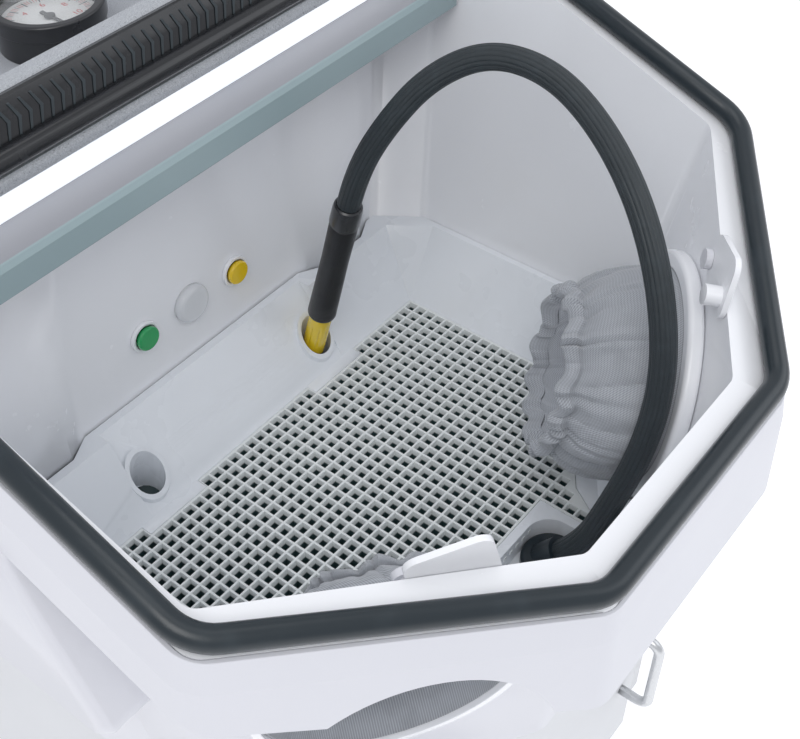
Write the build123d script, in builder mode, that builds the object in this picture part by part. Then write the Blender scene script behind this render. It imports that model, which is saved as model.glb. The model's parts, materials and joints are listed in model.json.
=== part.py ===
from build123d import *
from math import atan2, cos, pi, radians, sin, tan
import os

os.makedirs("parts", exist_ok=True)

# ---- driving dimensions (mm) ---------------------------------------------------------------
# The frame stands on the floor at z = 0, with the operator at -Y.
CHAMBER_BACK_Y = 84.9           # inner face of the chamber's back wall
GRID_TOP_Z = 600.0              # top of the grid, the working floor

RIM_SLOPE = 20.5                # degrees, the opening falls towards the operator
RIM_FRONT = 551.0               # back wall to the seal's front run
RIM_CORNER = 387.0              # back wall to the seal's side corners
RIM_FRONT_HALF = 129.0          # half width of the front run
RIM_SIDE_HALF = 356.0           # half width between the side runs
RIM_FRONT_RISE = 266.0          # grid to the seal at the front
SEAL_DIAMETER = 20.0
SHEET = 5.0                     # wall of the moulded shells
FIT = 0.5                       # gap between pieces that seat in each other
RUNNING = 0.05                  # radial gap of a pin in its bore

SUMP_DEPTH = 44.0               # grid to the bottom of the tray's sump
CHAMBER_DRAFT_TOP = 500.0       # height at which the upper section of the taper is given

CREASE_DROP = 38.0              # seal centre to the crease of the rim moulding
HEM_FRONT_RISE = 140.0          # grid to the hem of the rim moulding, at the front
HEM_CORNER_RISE = 246.0
HEM_SIDE_RISE = 303.0

CONSOLE_REAR = 215.0            # back wall to the rear of the console
CONSOLE_TOP_RISE = 471.0
DECK_RISE = 390.0
HOUSING_REACH = 79.0            # light housing in front of the back wall
HOUSING_RISE = 351.0

TRAY_RIM_RISE = 80.0
TRAY_WALL = 4.0

CELL = 13.0                     # pitch of the grid
RIB = 3.2                       # rib of the grid
GRID_COLUMNS = 41
GRID_ROWS = 22
GRID_BACK = 73.0                # back wall to the first row of cells
GRID_THICKNESS = 14.0

CUP_X = 127.0
CUP_BACK = 49.0
CUP_RISE = 32.0
CUP_LEAN = 15.4                 # degrees towards the operator
CUP_BORE = 36.0
CUP_WALL = 4.5
CUP_DEPTH = 52.0

GRIP_DIAMETER = 31.0
GRIP_LENGTH = 172.0
FERRULE_LENGTH = 62.0
HOSE_DIAMETER = 24.0

PORT_RADIUS = 104.0             # clear opening of a glove port
PORT_RING_RADIUS = 119.0
PORT_RISE = 134.0
PORT_LEAN = 10.0                # degrees, wall of the port opens upwards
PORT_ALONG = 140.4              # front corner of the rim to the port, along the diagonal
PORT_INSET = 59.4               # seal line to the port wall at the port's height

BUTTON_X = 63.0
BUTTON_RISE = 145.0
BUTTON_DIAMETER = 26.0
BUTTON_TRAVEL = 4.0
LENS_DIAMETER = 42.0

GAUGE_DIAMETER = 100.0
GAUGE_BACK = 133.0              # back wall to the gauge, behind it
GAUGE_HEIGHT = 39.0

HINGE_BACK = 190.0              # back wall to the hood's hinge
HINGE_RISE = 492.0
HINGE_PIN = 10.0
HOOD_HEIGHT = 215.0
HOOD_OPEN = 95.0                # degrees between shut and open
HOOD_WALL = 4.0

BASE_HALF_WIDTH = 290.0
BASE_FRONT = 440.0              # back wall to the cabinet's front
BASE_BACK = 190.0
BASE_BOTTOM_Z = 118.0
CASTOR_WHEEL = 80.0

# ---- derived values ------------------------------------------------------------------------
SLOPE = radians(RIM_SLOPE)
CHAMBER_DEPTH = SUMP_DEPTH + TRAY_WALL + FIT
TUB_FLOOR = -(CHAMBER_DEPTH + SHEET + FIT + SHEET)
BASE_TOP_Z = GRID_TOP_Z + TUB_FLOOR - FIT
BACK_Y = CHAMBER_BACK_Y
FRONT_Y = BACK_Y - RIM_FRONT
CORNER_Y = BACK_Y - RIM_CORNER
REAR_Y = BACK_Y + CONSOLE_REAR
DIAGONAL = atan2(RIM_FRONT - RIM_CORNER, RIM_SIDE_HALF - RIM_FRONT_HALF)
RIM_PLANE = Plane(
    origin=(0, FRONT_Y, GRID_TOP_Z + RIM_FRONT_RISE),
    x_dir=(1, 0, 0),
    z_dir=(0, -sin(SLOPE), cos(SLOPE)),
)


def write(builder, name):
    """Label a finished piece and write its STEP file."""
    builder.part.label = name
    export_step(builder.part, f"parts/{name}.step")


def rim_z(y):
    """Height of the seal's centre line above the floor at y."""
    return GRID_TOP_Z + RIM_FRONT_RISE + tan(SLOPE) * (y - FRONT_Y)


def outline(side, diagonal, front, rear_y, chamfer=(0.0, 0.0)):
    """Corners of the six- or eight-sided plan, moved in from the seal line by three insets."""
    half = RIM_SIDE_HALF - side
    front_y = FRONT_Y + front
    side_y = FRONT_Y + (diagonal + sin(DIAGONAL) * (half - RIM_FRONT_HALF)) / cos(DIAGONAL)
    front_x = RIM_FRONT_HALF + (cos(DIAGONAL) * front - diagonal) / sin(DIAGONAL)
    right = [(front_x, front_y), (half, side_y)]
    if chamfer[0] > 0:
        right += [(half, rear_y - chamfer[1]), (half - chamfer[0], rear_y)]
    else:
        right += [(half, rear_y)]
    return right + [(-x, y) for x, y in reversed(right)]


def on_rim(points, drop=0.0):
    """The same plan points in the coordinates of the rim plane lowered by drop."""
    return [(x, (y - FRONT_Y - drop * sin(SLOPE)) / cos(SLOPE)) for x, y in points]


def plan(points, plane, radius=0.0):
    """One closed outline on a plane, with rounded corners."""
    with BuildSketch(plane) as drawn:
        Polygon(*points, align=None)
        if radius > 0:
            fillet(drawn.vertices(), radius)
    return drawn.sketch


def across(points, half_width, mode=Mode.ADD):
    """Extrude a Y-Z outline across the width, about the middle plane, in the current part."""
    extrude(plan(points, Plane.YZ), amount=half_width, both=True, mode=mode)


def level(rise):
    """Horizontal plane at a height above the grid."""
    return Plane.XY.offset(GRID_TOP_Z + rise)


def port_plane(side):
    """Plane on the chamber's inner port wall: z points into the chamber and y up."""
    along = Vector(cos(DIAGONAL) * side, sin(DIAGONAL), 0)
    inward = Vector(-sin(DIAGONAL) * side, cos(DIAGONAL), 0)
    start = Vector(RIM_FRONT_HALF * side, FRONT_Y, GRID_TOP_Z + PORT_RISE)
    centre = start + along * PORT_ALONG + inward * PORT_INSET
    lean = radians(PORT_LEAN)
    normal = inward * cos(lean) + Vector(0, 0, sin(lean))
    return Plane(origin=centre, x_dir=along * -side, z_dir=normal)


# insets of the chamber's inner walls from the seal line, as (side, diagonal, front)
DRAFT = tan(radians(PORT_LEAN))
FLOOR_INSET = (39.0, PORT_INSET + PORT_RISE * DRAFT, 65.0)
UPPER_INSET = (6.5, FLOOR_INSET[1] - CHAMBER_DRAFT_TOP * DRAFT, 0.0)
CORNER_CHAMFER = (32.0, 47.0)
CHAMBER_RADIUS = 14.0


def chamber_section(rise, grow=0.0):
    """Insets of the chamber's inner wall at a height above the grid, moved out by grow."""
    share = rise / CHAMBER_DRAFT_TOP
    return [low + (high - low) * share - grow for low, high in zip(FLOOR_INSET, UPPER_INSET)]


def chamber_solid(grow, floor_rise):
    """Solid of the chamber's inside, grown outwards, in the current part."""
    sections = [
        plan(
            outline(*chamber_section(rise, grow), BACK_Y + grow, CORNER_CHAMFER),
            level(rise),
            CHAMBER_RADIUS + grow,
        )
        for rise in (floor_rise, CHAMBER_DRAFT_TOP)
    ]
    loft(sections, ruled=True)


# ---- wash chamber: the white inner liner ---------------------------------------------------
FLANGE_DROP = SEAL_DIAMETER / 2
FLANGE_OVERLAP = 5.0
FLANGE_END = 42.0               # back wall to the end of the side flanges, in front of it
CONSOLE_FACE = 30.0             # back wall to the console's face, in front of it
WALL_TOP = HOUSING_RISE - FIT
HOUSING_HALF = 336.0
PORT_BORE_MARGIN = 8.0
OPENING_RADIUS = 20.0           # corners of the opening in the rim moulding
PILASTER_INNER = 154.0
PILASTER_OUTER = 276.0
PILASTER_DEPTH = 14.0
PIPE_X = 66.0
PIPE_FRONT = 402.5              # back wall to the supply pipe, in front of it
PIPE_DIAMETER = 22.0
DRAIN_FRONT = 190.0
DRAIN_DIAMETER = 42.0
STEM_HOLE = 20.0
LENS_HOLE = 36.0


def pilaster(grow):
    """Right-hand pilaster of the back wall in plan, grown by a gap."""
    ramp = PILASTER_DEPTH * 2 + grow
    return [
        (PILASTER_INNER - grow, BACK_Y),
        (PILASTER_INNER - grow + ramp, BACK_Y - PILASTER_DEPTH - grow),
        (PILASTER_OUTER + grow - ramp, BACK_Y - PILASTER_DEPTH - grow),
        (PILASTER_OUTER + grow, BACK_Y),
    ]


def on_side(points, side):
    """Plan points on the right (1) or mirrored to the left (-1)."""
    return [(x * side, y) for x, y in points]


def port_hole(side, radius, depth=60.0):
    """Bore of a glove port through the walls, in the current part."""
    with BuildSketch(port_plane(side)) as hole:
        Circle(radius)
    extrude(hole.sketch, amount=depth, both=True, mode=Mode.SUBTRACT)


def pipe_holes(low_rise, height):
    """Holes for the supply pipe and the drain pipe, in the current part."""
    for x, front, diameter in ((PIPE_X, PIPE_FRONT, PIPE_DIAMETER), (0, DRAIN_FRONT, DRAIN_DIAMETER)):
        with BuildSketch(level(low_rise)) as hole:
            with Locations((x, BACK_Y - front)):
                Circle(diameter / 2 + FIT)
        extrude(hole.sketch, amount=height, mode=Mode.SUBTRACT)


def above_rim(drop):
    """Side view of everything over the rim plane lowered by drop."""
    start, end = FRONT_Y - 80, REAR_Y + 80
    low = drop / cos(SLOPE)
    top = GRID_TOP_Z + 1200
    return [(start, rim_z(start) - low), (end, rim_z(end) - low), (end, top), (start, top)]


def below_rim(drop):
    """Side view of everything under the rim plane lowered by drop."""
    (start, low), (end, high) = above_rim(drop)[:2]
    return [(start, low), (end, high), (end, GRID_TOP_Z - 300), (start, GRID_TOP_Z - 300)]


def room(front, rear, rise, height=900.0):
    """Side view of a box between two distances from the back wall."""
    low, high = GRID_TOP_Z + rise, GRID_TOP_Z + rise + height
    return [(BACK_Y + front, low), (BACK_Y + rear, low), (BACK_Y + rear, high), (BACK_Y + front, high)]


def from_back(points):
    """Side view points given from the back wall and the grid."""
    return [(BACK_Y + y, GRID_TOP_Z + z) for y, z in points]


with BuildPart() as chamber_cavity:
    chamber_solid(0, -CHAMBER_DEPTH)
with BuildPart() as flange:
    corners = outline(-FLANGE_OVERLAP, -FLANGE_OVERLAP, -FLANGE_OVERLAP, BACK_Y - FLANGE_END)
    extrude(plan(corners, level(0), OPENING_RADIUS), amount=700)
    across(above_rim(FLANGE_DROP), 500, Mode.SUBTRACT)
    across(below_rim(FLANGE_DROP + SHEET), 500, Mode.SUBTRACT)
with BuildPart() as wash_chamber:
    chamber_solid(SHEET, -CHAMBER_DEPTH - SHEET)
    add(flange.part)
    across(above_rim(FLANGE_DROP), 500, Mode.SUBTRACT)
    add(chamber_cavity.part, mode=Mode.SUBTRACT)
    across(room(-HOUSING_REACH - FIT, 60, WALL_TOP), HOUSING_HALF + FIT, Mode.SUBTRACT)
    across(room(-FLANGE_END, 60, WALL_TOP), 500, Mode.SUBTRACT)
    for side in (-1, 1):
        extrude(plan(on_side(pilaster(0), side), level(0)), amount=WALL_TOP)
        port_hole(side, PORT_RADIUS + PORT_BORE_MARGIN)
    for x, diameter in ((-BUTTON_X, STEM_HOLE), (0, LENS_HOLE), (BUTTON_X, STEM_HOLE)):
        with BuildSketch(Plane.XZ.offset(-BACK_Y)) as hole:
            with Locations((x, GRID_TOP_Z + BUTTON_RISE)):
                Circle(diameter / 2)
        extrude(hole.sketch, amount=20, both=True, mode=Mode.SUBTRACT)
    pipe_holes(-CHAMBER_DEPTH - 20, 40)
write(wash_chamber, "wash_chamber")

# ---- body shell: the white rim moulding outside the seal -----------------------------------
CREASE = CREASE_DROP * cos(SLOPE)
BAND = 175.0                    # crease to the plane that gives the hem's outline
CORNER_RADIUS = 34.0
HEM_REAR_RISE = HEM_SIDE_RISE + 66
HEM_SIDE_START = 231.0          # back wall to where the hem turns level at the sides
HEM = [
    (-RIM_FRONT - 60, HEM_FRONT_RISE - 22),
    (-RIM_FRONT - 20, HEM_FRONT_RISE),
    (-RIM_CORNER, HEM_CORNER_RISE),
    (-HEM_SIDE_START, HEM_SIDE_RISE),
    (-60, HEM_REAR_RISE),
    (CONSOLE_REAR + 60, HEM_REAR_RISE),
]
with BuildPart() as opening:
    edge = -FLANGE_OVERLAP - FIT
    extrude(plan(outline(edge, edge, edge, REAR_Y - SHEET), level(0), OPENING_RADIUS), amount=700)
    across(below_rim(CREASE + 20), 500, Mode.SUBTRACT)
with BuildPart() as body_shell:
    crease_plane = RIM_PLANE.offset(-CREASE)
    hem_plane = RIM_PLANE.offset(-CREASE - BAND)
    rim_top_plane = RIM_PLANE.offset(-FLANGE_DROP)
    rim_top = plan(on_rim(outline(-9, -8.5, -8.5, REAR_Y), FLANGE_DROP), rim_top_plane, CORNER_RADIUS)
    crease = plan(on_rim(outline(-16, -13, -11, REAR_Y), CREASE), crease_plane, CORNER_RADIUS)
    hem = plan(on_rim(outline(-24, -20, -20, REAR_Y), CREASE + BAND), hem_plane, CORNER_RADIUS)
    loft([crease, rim_top], ruled=True)
    loft([hem, crease], ruled=True)
    inner_radius = CORNER_RADIUS - SHEET
    inner_crease = plan(on_rim(outline(-11, -8, -6, REAR_Y - SHEET), CREASE), crease_plane, inner_radius)
    inner_hem = plan(on_rim(outline(-19, -15, -15, REAR_Y - SHEET), CREASE + BAND), hem_plane, inner_radius)
    loft([inner_hem, inner_crease], ruled=True, mode=Mode.SUBTRACT)
    add(opening.part, mode=Mode.SUBTRACT)
    across(room(-300, CONSOLE_REAR + 60, CONSOLE_TOP_RISE), 500, Mode.SUBTRACT)
    floor_corners = [(CONSOLE_REAR + 60, -300), (-RIM_FRONT - 60, -300)]
    across(from_back(HEM + floor_corners), 500, Mode.SUBTRACT)
    for side in (-1, 1):
        with BuildSketch(port_plane(side)) as arch:
            Circle(PORT_RADIUS + 6)
        extrude(arch.sketch, amount=-160, mode=Mode.SUBTRACT)
write(body_shell, "body_shell")

# ---- tub shell: the outer skin round the chamber -------------------------------------------
TUB_TOP = DECK_RISE - SHEET - FIT
TUB_REAR = CONSOLE_REAR - 8.0


def tub_solid(grow, floor_rise):
    """Tapered solid of the tub, moved out by grow, in the current part."""
    sections = []
    for rise in (floor_rise, TUB_TOP):
        gap = 2 * SHEET + FIT + grow
        corners = outline(*chamber_section(rise, gap), BACK_Y + TUB_REAR + grow)
        sections.append(plan(corners, level(rise), CHAMBER_RADIUS + gap))
    loft(sections, ruled=True)


with BuildPart() as tub_cavity:
    tub_solid(-SHEET, TUB_FLOOR + SHEET)
with BuildPart() as tub_shell:
    tub_solid(0, TUB_FLOOR)
    add(tub_cavity.part, mode=Mode.SUBTRACT)
    across(above_rim(FLANGE_DROP + SHEET + FIT), 500, Mode.SUBTRACT)
    for side in (-1, 1):
        port_hole(side, PORT_RADIUS + PORT_BORE_MARGIN)
    pipe_holes(TUB_FLOOR - 20, 60)
write(tub_shell, "tub_shell")

# ---- side panels ---------------------------------------------------------------------------
PANEL_HALF = RIM_SIDE_HALF + 23.0
PANEL_BOTTOM = 130.0
PANEL_PROFILE = [
    (-HEM_SIDE_START, HEM_SIDE_RISE - FIT),
    (-60, HEM_REAR_RISE - FIT),
    (TUB_REAR, HEM_REAR_RISE - FIT),
    (TUB_REAR, PANEL_BOTTOM),
    (-282, PANEL_BOTTOM),
    (-305, 157),
]
with BuildPart() as tub_room:
    tub_solid(FIT, TUB_FLOOR)
for side, name in ((-1, "left_side_panel"), (1, "right_side_panel")):
    with BuildPart() as side_panel:
        face = plan(from_back(PANEL_PROFILE), Plane.YZ.offset(side * (PANEL_HALF - 60)), 14)
        extrude(face, amount=side * 60)
        chamfer(side_panel.faces().sort_by(Axis.X)[0 if side < 0 else -1].edges(), 5)
        hollow = offset(face, amount=-SHEET, mode=Mode.PRIVATE)
        extrude(hollow, amount=side * (60 - SHEET), mode=Mode.SUBTRACT)
        add(tub_room.part, mode=Mode.SUBTRACT)
    write(side_panel, name)

# ---- seal round the opening ----------------------------------------------------------------
with BuildPart() as rim_seal:
    seal_end = (BACK_Y - FLANGE_END - 2 - FRONT_Y) / cos(SLOPE)
    corner_run = (CORNER_Y - FRONT_Y) / cos(SLOPE)
    with BuildLine(RIM_PLANE) as seal_path:
        FilletPolyline(
            (-RIM_SIDE_HALF, seal_end),
            (-RIM_SIDE_HALF, corner_run),
            (-RIM_FRONT_HALF, 0),
            (RIM_FRONT_HALF, 0),
            (RIM_SIDE_HALF, corner_run),
            (RIM_SIDE_HALF, seal_end),
            radius=42,
        )
    with BuildSketch(Plane(origin=seal_path.line @ 0, z_dir=seal_path.line % 0)):
        Circle(SEAL_DIAMETER / 2 - FIT / 2)
    sweep()
write(rim_seal, "rim_seal")

# ---- rear console, its seal, light housing, lamp -------------------------------------------
FACE_FOOT = (-CONSOLE_FACE, 420.0)
FACE_TOP = (-14.0, CONSOLE_TOP_RISE)
FACE_LEAN = atan2(FACE_TOP[0] - FACE_FOOT[0], FACE_TOP[1] - FACE_FOOT[1])
CONSOLE_HALF = RIM_SIDE_HALF + FLANGE_OVERLAP
STRIP_HALF = 340.0
CONSOLE_SHEET = 5.0
BULB_RADIUS = 9.5


def on_face(along, out):
    """Point at a distance up the console's leaning face and out from it."""
    y = BACK_Y + FACE_FOOT[0] + sin(FACE_LEAN) * along - cos(FACE_LEAN) * out
    z = GRID_TOP_Z + FACE_FOOT[1] + cos(FACE_LEAN) * along + sin(FACE_LEAN) * out
    return (y, z)


with BuildPart() as rear_console:
    console_end = CONSOLE_REAR - SHEET - FIT
    profile = [
        (-CONSOLE_FACE, DECK_RISE - CONSOLE_SHEET), FACE_FOOT, FACE_TOP, (4.0, CONSOLE_TOP_RISE),
        (4.0, DECK_RISE), (console_end, DECK_RISE), (console_end, DECK_RISE - CONSOLE_SHEET),
    ]
    across(from_back(profile), CONSOLE_HALF)
    chamfer(rear_console.edges().filter_by(Axis.X).group_by(Axis.Z)[-1], 3)
    fillet(rear_console.edges().filter_by(Axis.Z).group_by(Axis.Y)[-1], OPENING_RADIUS)
write(rear_console, "rear_console")

with BuildPart() as rear_seal:
    clamp = [on_face(14, FIT), on_face(51, FIT), on_face(51, 6), on_face(48, 9), on_face(14, 9)]
    across(clamp, STRIP_HALF)
    with BuildSketch(Plane.YZ) as bulb:
        with Locations(on_face(BULB_RADIUS, BULB_RADIUS + 1)):
            Circle(BULB_RADIUS)
    extrude(bulb.sketch, amount=STRIP_HALF, both=True)
write(rear_seal, "rear_seal")

HOUSING_TOP = 382.0
with BuildPart() as light_housing:
    profile = [
        (-HOUSING_REACH, HOUSING_RISE), (-HOUSING_REACH, HOUSING_TOP - 6), (-HOUSING_REACH + 3, HOUSING_TOP),
        (SHEET, HOUSING_TOP), (SHEET, HOUSING_RISE),
    ]
    across(from_back(profile), HOUSING_HALF)
    channel = [
        (-HOUSING_REACH + 6, HOUSING_RISE - 1), (-HOUSING_REACH + 6, HOUSING_TOP - 6),
        (-8.0, HOUSING_TOP - 6), (-8.0, HOUSING_RISE - 1),
    ]
    across(from_back(channel), HOUSING_HALF - 6, Mode.SUBTRACT)
write(light_housing, "light_housing")

LAMP_HEIGHT = 22.0
TRIM_HEIGHT = 13.5
LAMP_DEPTH = 9.5
with BuildPart() as lamp_diffuser:
    front = -CONSOLE_FACE - FIT - LAMP_DEPTH
    across(room(front, -CONSOLE_FACE - FIT, HOUSING_TOP + FIT, LAMP_HEIGHT), HOUSING_HALF)
    chamfer(lamp_diffuser.edges().filter_by(Axis.X).group_by(Axis.Y)[0], 2)
write(lamp_diffuser, "lamp_diffuser")

with BuildPart() as trim_strip:
    across(room(front, -CONSOLE_FACE - FIT, HOUSING_TOP + LAMP_HEIGHT + 2 * FIT, TRIM_HEIGHT), HOUSING_HALF)
    chamfer(trim_strip.edges().filter_by(Axis.X).group_by(Axis.Y)[0], 2)
write(trim_strip, "trim_strip")

# ---- grid ----------------------------------------------------------------------------------
GRID_HALF = GRID_COLUMNS * CELL / 2
GRID_FRONT = GRID_BACK + GRID_ROWS * CELL
LOBE_HALF = 110.0               # middle to the inner side of a lobe
LOBE = [(121.0, 56.0), (143.0, 20.0)]   # outer corners of a lobe: x, distance past the grid's front
SIDE_END = 67.0                 # grid's front to the end of its straight sides, behind it
NOTCH_HALF = 3 * CELL
SLOT_LENGTH = 7 * CELL - RIB


def grid_outline(grow):
    """Plan of the grid, with two lobes in front and a notch behind each cup."""
    edge = RIB / 2 + grow
    back = BACK_Y - GRID_BACK + edge
    front = BACK_Y - GRID_FRONT - edge
    notch_y = back - CELL
    notch_x = (GRID_COLUMNS / 2 - 11) * CELL
    right = [(LOBE_HALF - edge, front), (LOBE_HALF - edge, front - LOBE[0][1])]
    right += [(x + grow, front - reach) for x, reach in LOBE]
    right += [(GRID_HALF + edge, front + SIDE_END), (GRID_HALF + edge, back)]
    right += [(notch_x + NOTCH_HALF - grow, back), (notch_x + NOTCH_HALF - grow, notch_y)]
    right += [(notch_x - NOTCH_HALF + grow, notch_y), (notch_x - NOTCH_HALF + grow, back)]
    return right + [(-x, y) for x, y in reversed(right)]


with BuildPart() as grid:
    extrude(plan(grid_outline(0), level(-GRID_THICKNESS)), amount=GRID_THICKNESS)
    slots = [((column + 0.5) * 7 * CELL, row) for column in range(-3, 3) for row in range(1, GRID_ROWS - 5)]
    with BuildSketch(level(-GRID_THICKNESS)) as slot_rows:
        with Locations(*[(x, BACK_Y - GRID_BACK - (row + 0.5) * CELL) for x, row in slots]):
            Rectangle(SLOT_LENGTH, CELL - RIB)
    extrude(slot_rows.sketch, amount=GRID_THICKNESS, mode=Mode.SUBTRACT)
write(grid, "grid")

# ---- tray ----------------------------------------------------------------------------------
RING_PROUD = 15.6
RING_SPIGOT = 14.0
SCALLOP_REACH = 45.0            # how far a sleeve's scallop runs in from the port's wall
TRAY_TOP = (42.0, 80.0, 82.0)   # insets of the tray's inside at its rim
TRAY_FOOT = (87.0, 108.0, 100.0)
TRAY_RIM = (34.5, 72.0, 56.0)
TRAY_BACK = 25.0                # back wall to the tray's inside at its rim
TRAY_GAP = 2.0
SEAT_LEDGE = 4.0
RECESS_HALF = 98.0
RECESS_BACK = GRID_FRONT + 12.0
RECESS_FRONT = RECESS_BACK + 70.0
RECESS_DEPTH = 26.0
RECESS_RADIUS = 26.0


def tray_inside(grow):
    """Inside of the tray above its floor, moved out by grow, in the current part."""
    foot = [inset - grow for inset in TRAY_FOOT]
    top = [inset - grow for inset in TRAY_TOP]
    low = outline(*foot, BACK_Y - GRID_BACK + RIB + grow, (1, 1))
    high = outline(*top, BACK_Y - TRAY_BACK + grow, (32, 44))
    loft([plan(low, level(-grow)), plan(high, level(TRAY_RIM_RISE))], ruled=True)
    middle = [
        (-TRAY_BACK - 1, TRAY_RIM_RISE), (-11 + grow, TRAY_RIM_RISE),
        (-GRID_BACK + RIB + grow, -grow), (-GRID_BACK - 10, -grow),
    ]
    across(from_back(middle), PILASTER_INNER - 8 + grow)


def recess(grow):
    """Plan of the hose recess, moved out by grow."""
    half = RECESS_HALF + grow
    front, back = BACK_Y - RECESS_FRONT - grow, BACK_Y - RECESS_BACK + grow
    return [(-half, front), (half, front), (half, back), (-half, back)]


def cup_axis(side):
    """Plane at the mouth of a holder cup; its z axis points up the bore."""
    lean = radians(CUP_LEAN)
    mouth = (CUP_X * side, BACK_Y - CUP_BACK, GRID_TOP_Z + CUP_RISE)
    return Plane(origin=mouth, x_dir=(1, 0, 0), z_dir=(0, -sin(lean), cos(lean)))


def cup_disc(side, offset_up, radius):
    """Circle about a cup's axis at a height over its mouth."""
    with BuildSketch(cup_axis(side).offset(offset_up)) as disc:
        Circle(radius)
    return disc.sketch


with BuildPart() as tray_space:
    tray_inside(0)
with BuildPart() as cups:
    for side in (-1, 1):
        extrude(cup_disc(side, -CUP_DEPTH - CUP_WALL, CUP_BORE / 2 + CUP_WALL), amount=CUP_DEPTH + 30)
    slope_rise = TRAY_RIM_RISE / (GRID_BACK - RIB - 11)
    proud = 5.0
    over_slope = [
        (-CUP_BACK - 80, CUP_RISE + proud - 80 * slope_rise), (-CUP_BACK - 80, 300),
        (80, 300), (80, CUP_RISE + proud + (80 + CUP_BACK) * slope_rise),
    ]
    across(from_back(over_slope), 300, Mode.SUBTRACT)
with BuildPart() as tray:
    tray_inside(TRAY_WALL)
    extrude(plan(outline(*TRAY_RIM, BACK_Y - TRAY_GAP, (34, 49)), level(TRAY_RIM_RISE - TRAY_WALL)), amount=TRAY_WALL)
    seat_depth = GRID_THICKNESS + FIT
    extrude(plan(grid_outline(TRAY_WALL + FIT), level(-seat_depth - TRAY_WALL)), amount=seat_depth)
    extrude(plan(grid_outline(TRAY_WALL - SEAT_LEDGE), level(-SUMP_DEPTH - TRAY_WALL)), amount=SUMP_DEPTH)
    extrude(plan(recess(TRAY_WALL), level(-RECESS_DEPTH - TRAY_WALL), RECESS_RADIUS + TRAY_WALL), amount=RECESS_DEPTH)
    add(tray_space.part, mode=Mode.SUBTRACT)
    extrude(plan(grid_outline(FIT), level(-seat_depth)), amount=seat_depth, mode=Mode.SUBTRACT)
    extrude(plan(grid_outline(-SEAT_LEDGE), level(-SUMP_DEPTH)), amount=SUMP_DEPTH, mode=Mode.SUBTRACT)
    extrude(plan(recess(0), level(-RECESS_DEPTH), RECESS_RADIUS), amount=RECESS_DEPTH, mode=Mode.SUBTRACT)
    for side in (-1, 1):
        extrude(plan(on_side(pilaster(TRAY_GAP), side), level(0)), amount=200, mode=Mode.SUBTRACT)
    for side in (-1, 1):
        for radius, reach in ((PORT_RING_RADIUS + 2, RING_PROUD + 2), (PORT_RADIUS + 1, SCALLOP_REACH)):
            with BuildSketch(port_plane(side).offset(-20)) as scallop:
                Circle(radius)
            extrude(scallop.sketch, amount=20 + reach, mode=Mode.SUBTRACT)
    add(cups.part)
    for side in (-1, 1):
        extrude(cup_disc(side, -CUP_DEPTH, CUP_BORE / 2), amount=CUP_DEPTH + 60, mode=Mode.SUBTRACT)
    pipe_holes(-SUMP_DEPTH - 20, 40)
write(tray, "tray")

# ---- hose grommet, hose and brush ----------------------------------------------------------
GROMMET_DIAMETER = 60.0
GROMMET_HEIGHT = 12.0
COLLAR_LENGTH = 14.0
# route of the hose from the grommet to the brush: x, distance from the back wall, height over the grid
HOSE_ROUTE = [
    (73.5, -430.0, 20.0),
    (81.9, -446.0, 75.4),
    (97.5, -462.0, 150.0),
    (119.6, -460.2, 221.0),
    (139.1, -435.5, 293.0),
    (166.4, -390.0, 349.7),
    (195.0, -328.9, 386.0),
    (207.0, -270.0, 408.0),
    (199.0, -212.0, 409.0),
    (172.0, -168.0, 381.0),
    (142.0, -139.1, 332.2),
]
GRIP_BOTTOM = 43.0              # mouth of the cup to the grip
BRISTLE_TOP = GRIP_BOTTOM - FERRULE_LENGTH
FERRULE_RADIUS = 12.5
BRISTLE_RADIUS = 14.0
HOSE_LEAD = 42.0                # last straight run, in line with the brush
recess_floor = Vector(PIPE_X, BACK_Y - PIPE_FRONT, GRID_TOP_Z - RECESS_DEPTH)
route = [Vector(x, BACK_Y + y, GRID_TOP_Z + z) for x, y, z in HOSE_ROUTE]
grommet_top = recess_floor + Vector(0, 0, GROMMET_HEIGHT)
collar_direction = (route[0] - grommet_top).normalized()
brush_axis = cup_axis(1)
brush_end = GRIP_BOTTOM + GRIP_LENGTH
hose_points = [grommet_top + collar_direction * COLLAR_LENGTH] + route
hose_points += [brush_axis.origin + brush_axis.z_dir * (brush_end + lead) for lead in (HOSE_LEAD, 0)]


def tangent_radii(points):
    """Largest tangent arc at each corner of a route, from the shorter run beside it."""
    radii = []
    for before, corner, after in zip(points, points[1:], points[2:]):
        turn = radians((corner - before).get_angle(after - corner))
        run = min((corner - before).length, (after - corner).length)
        radii.append(0.45 * run / tan(turn / 2))
    return radii


with BuildPart() as grommet:
    with BuildSketch(Plane.XY.offset(recess_floor.Z)) as dish:
        with Locations((recess_floor.X, recess_floor.Y)):
            Circle(GROMMET_DIAMETER / 2)
    extrude(dish.sketch, amount=GROMMET_HEIGHT)
    fillet(grommet.edges().sort_by(Axis.Z)[-1], 4)
    with BuildSketch(Plane(origin=grommet_top, z_dir=collar_direction)) as collar:
        Circle(HOSE_DIAMETER / 2 + 4)
    extrude(collar.sketch, amount=COLLAR_LENGTH)
    extrude(collar.sketch, amount=-GROMMET_HEIGHT)
    with BuildSketch(Plane.XY.offset(recess_floor.Z)) as under_floor:
        with Locations((recess_floor.X, recess_floor.Y)):
            Circle(GROMMET_DIAMETER)
    extrude(under_floor.sketch, amount=-30, mode=Mode.SUBTRACT)
write(grommet, "hose_grommet")

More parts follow.
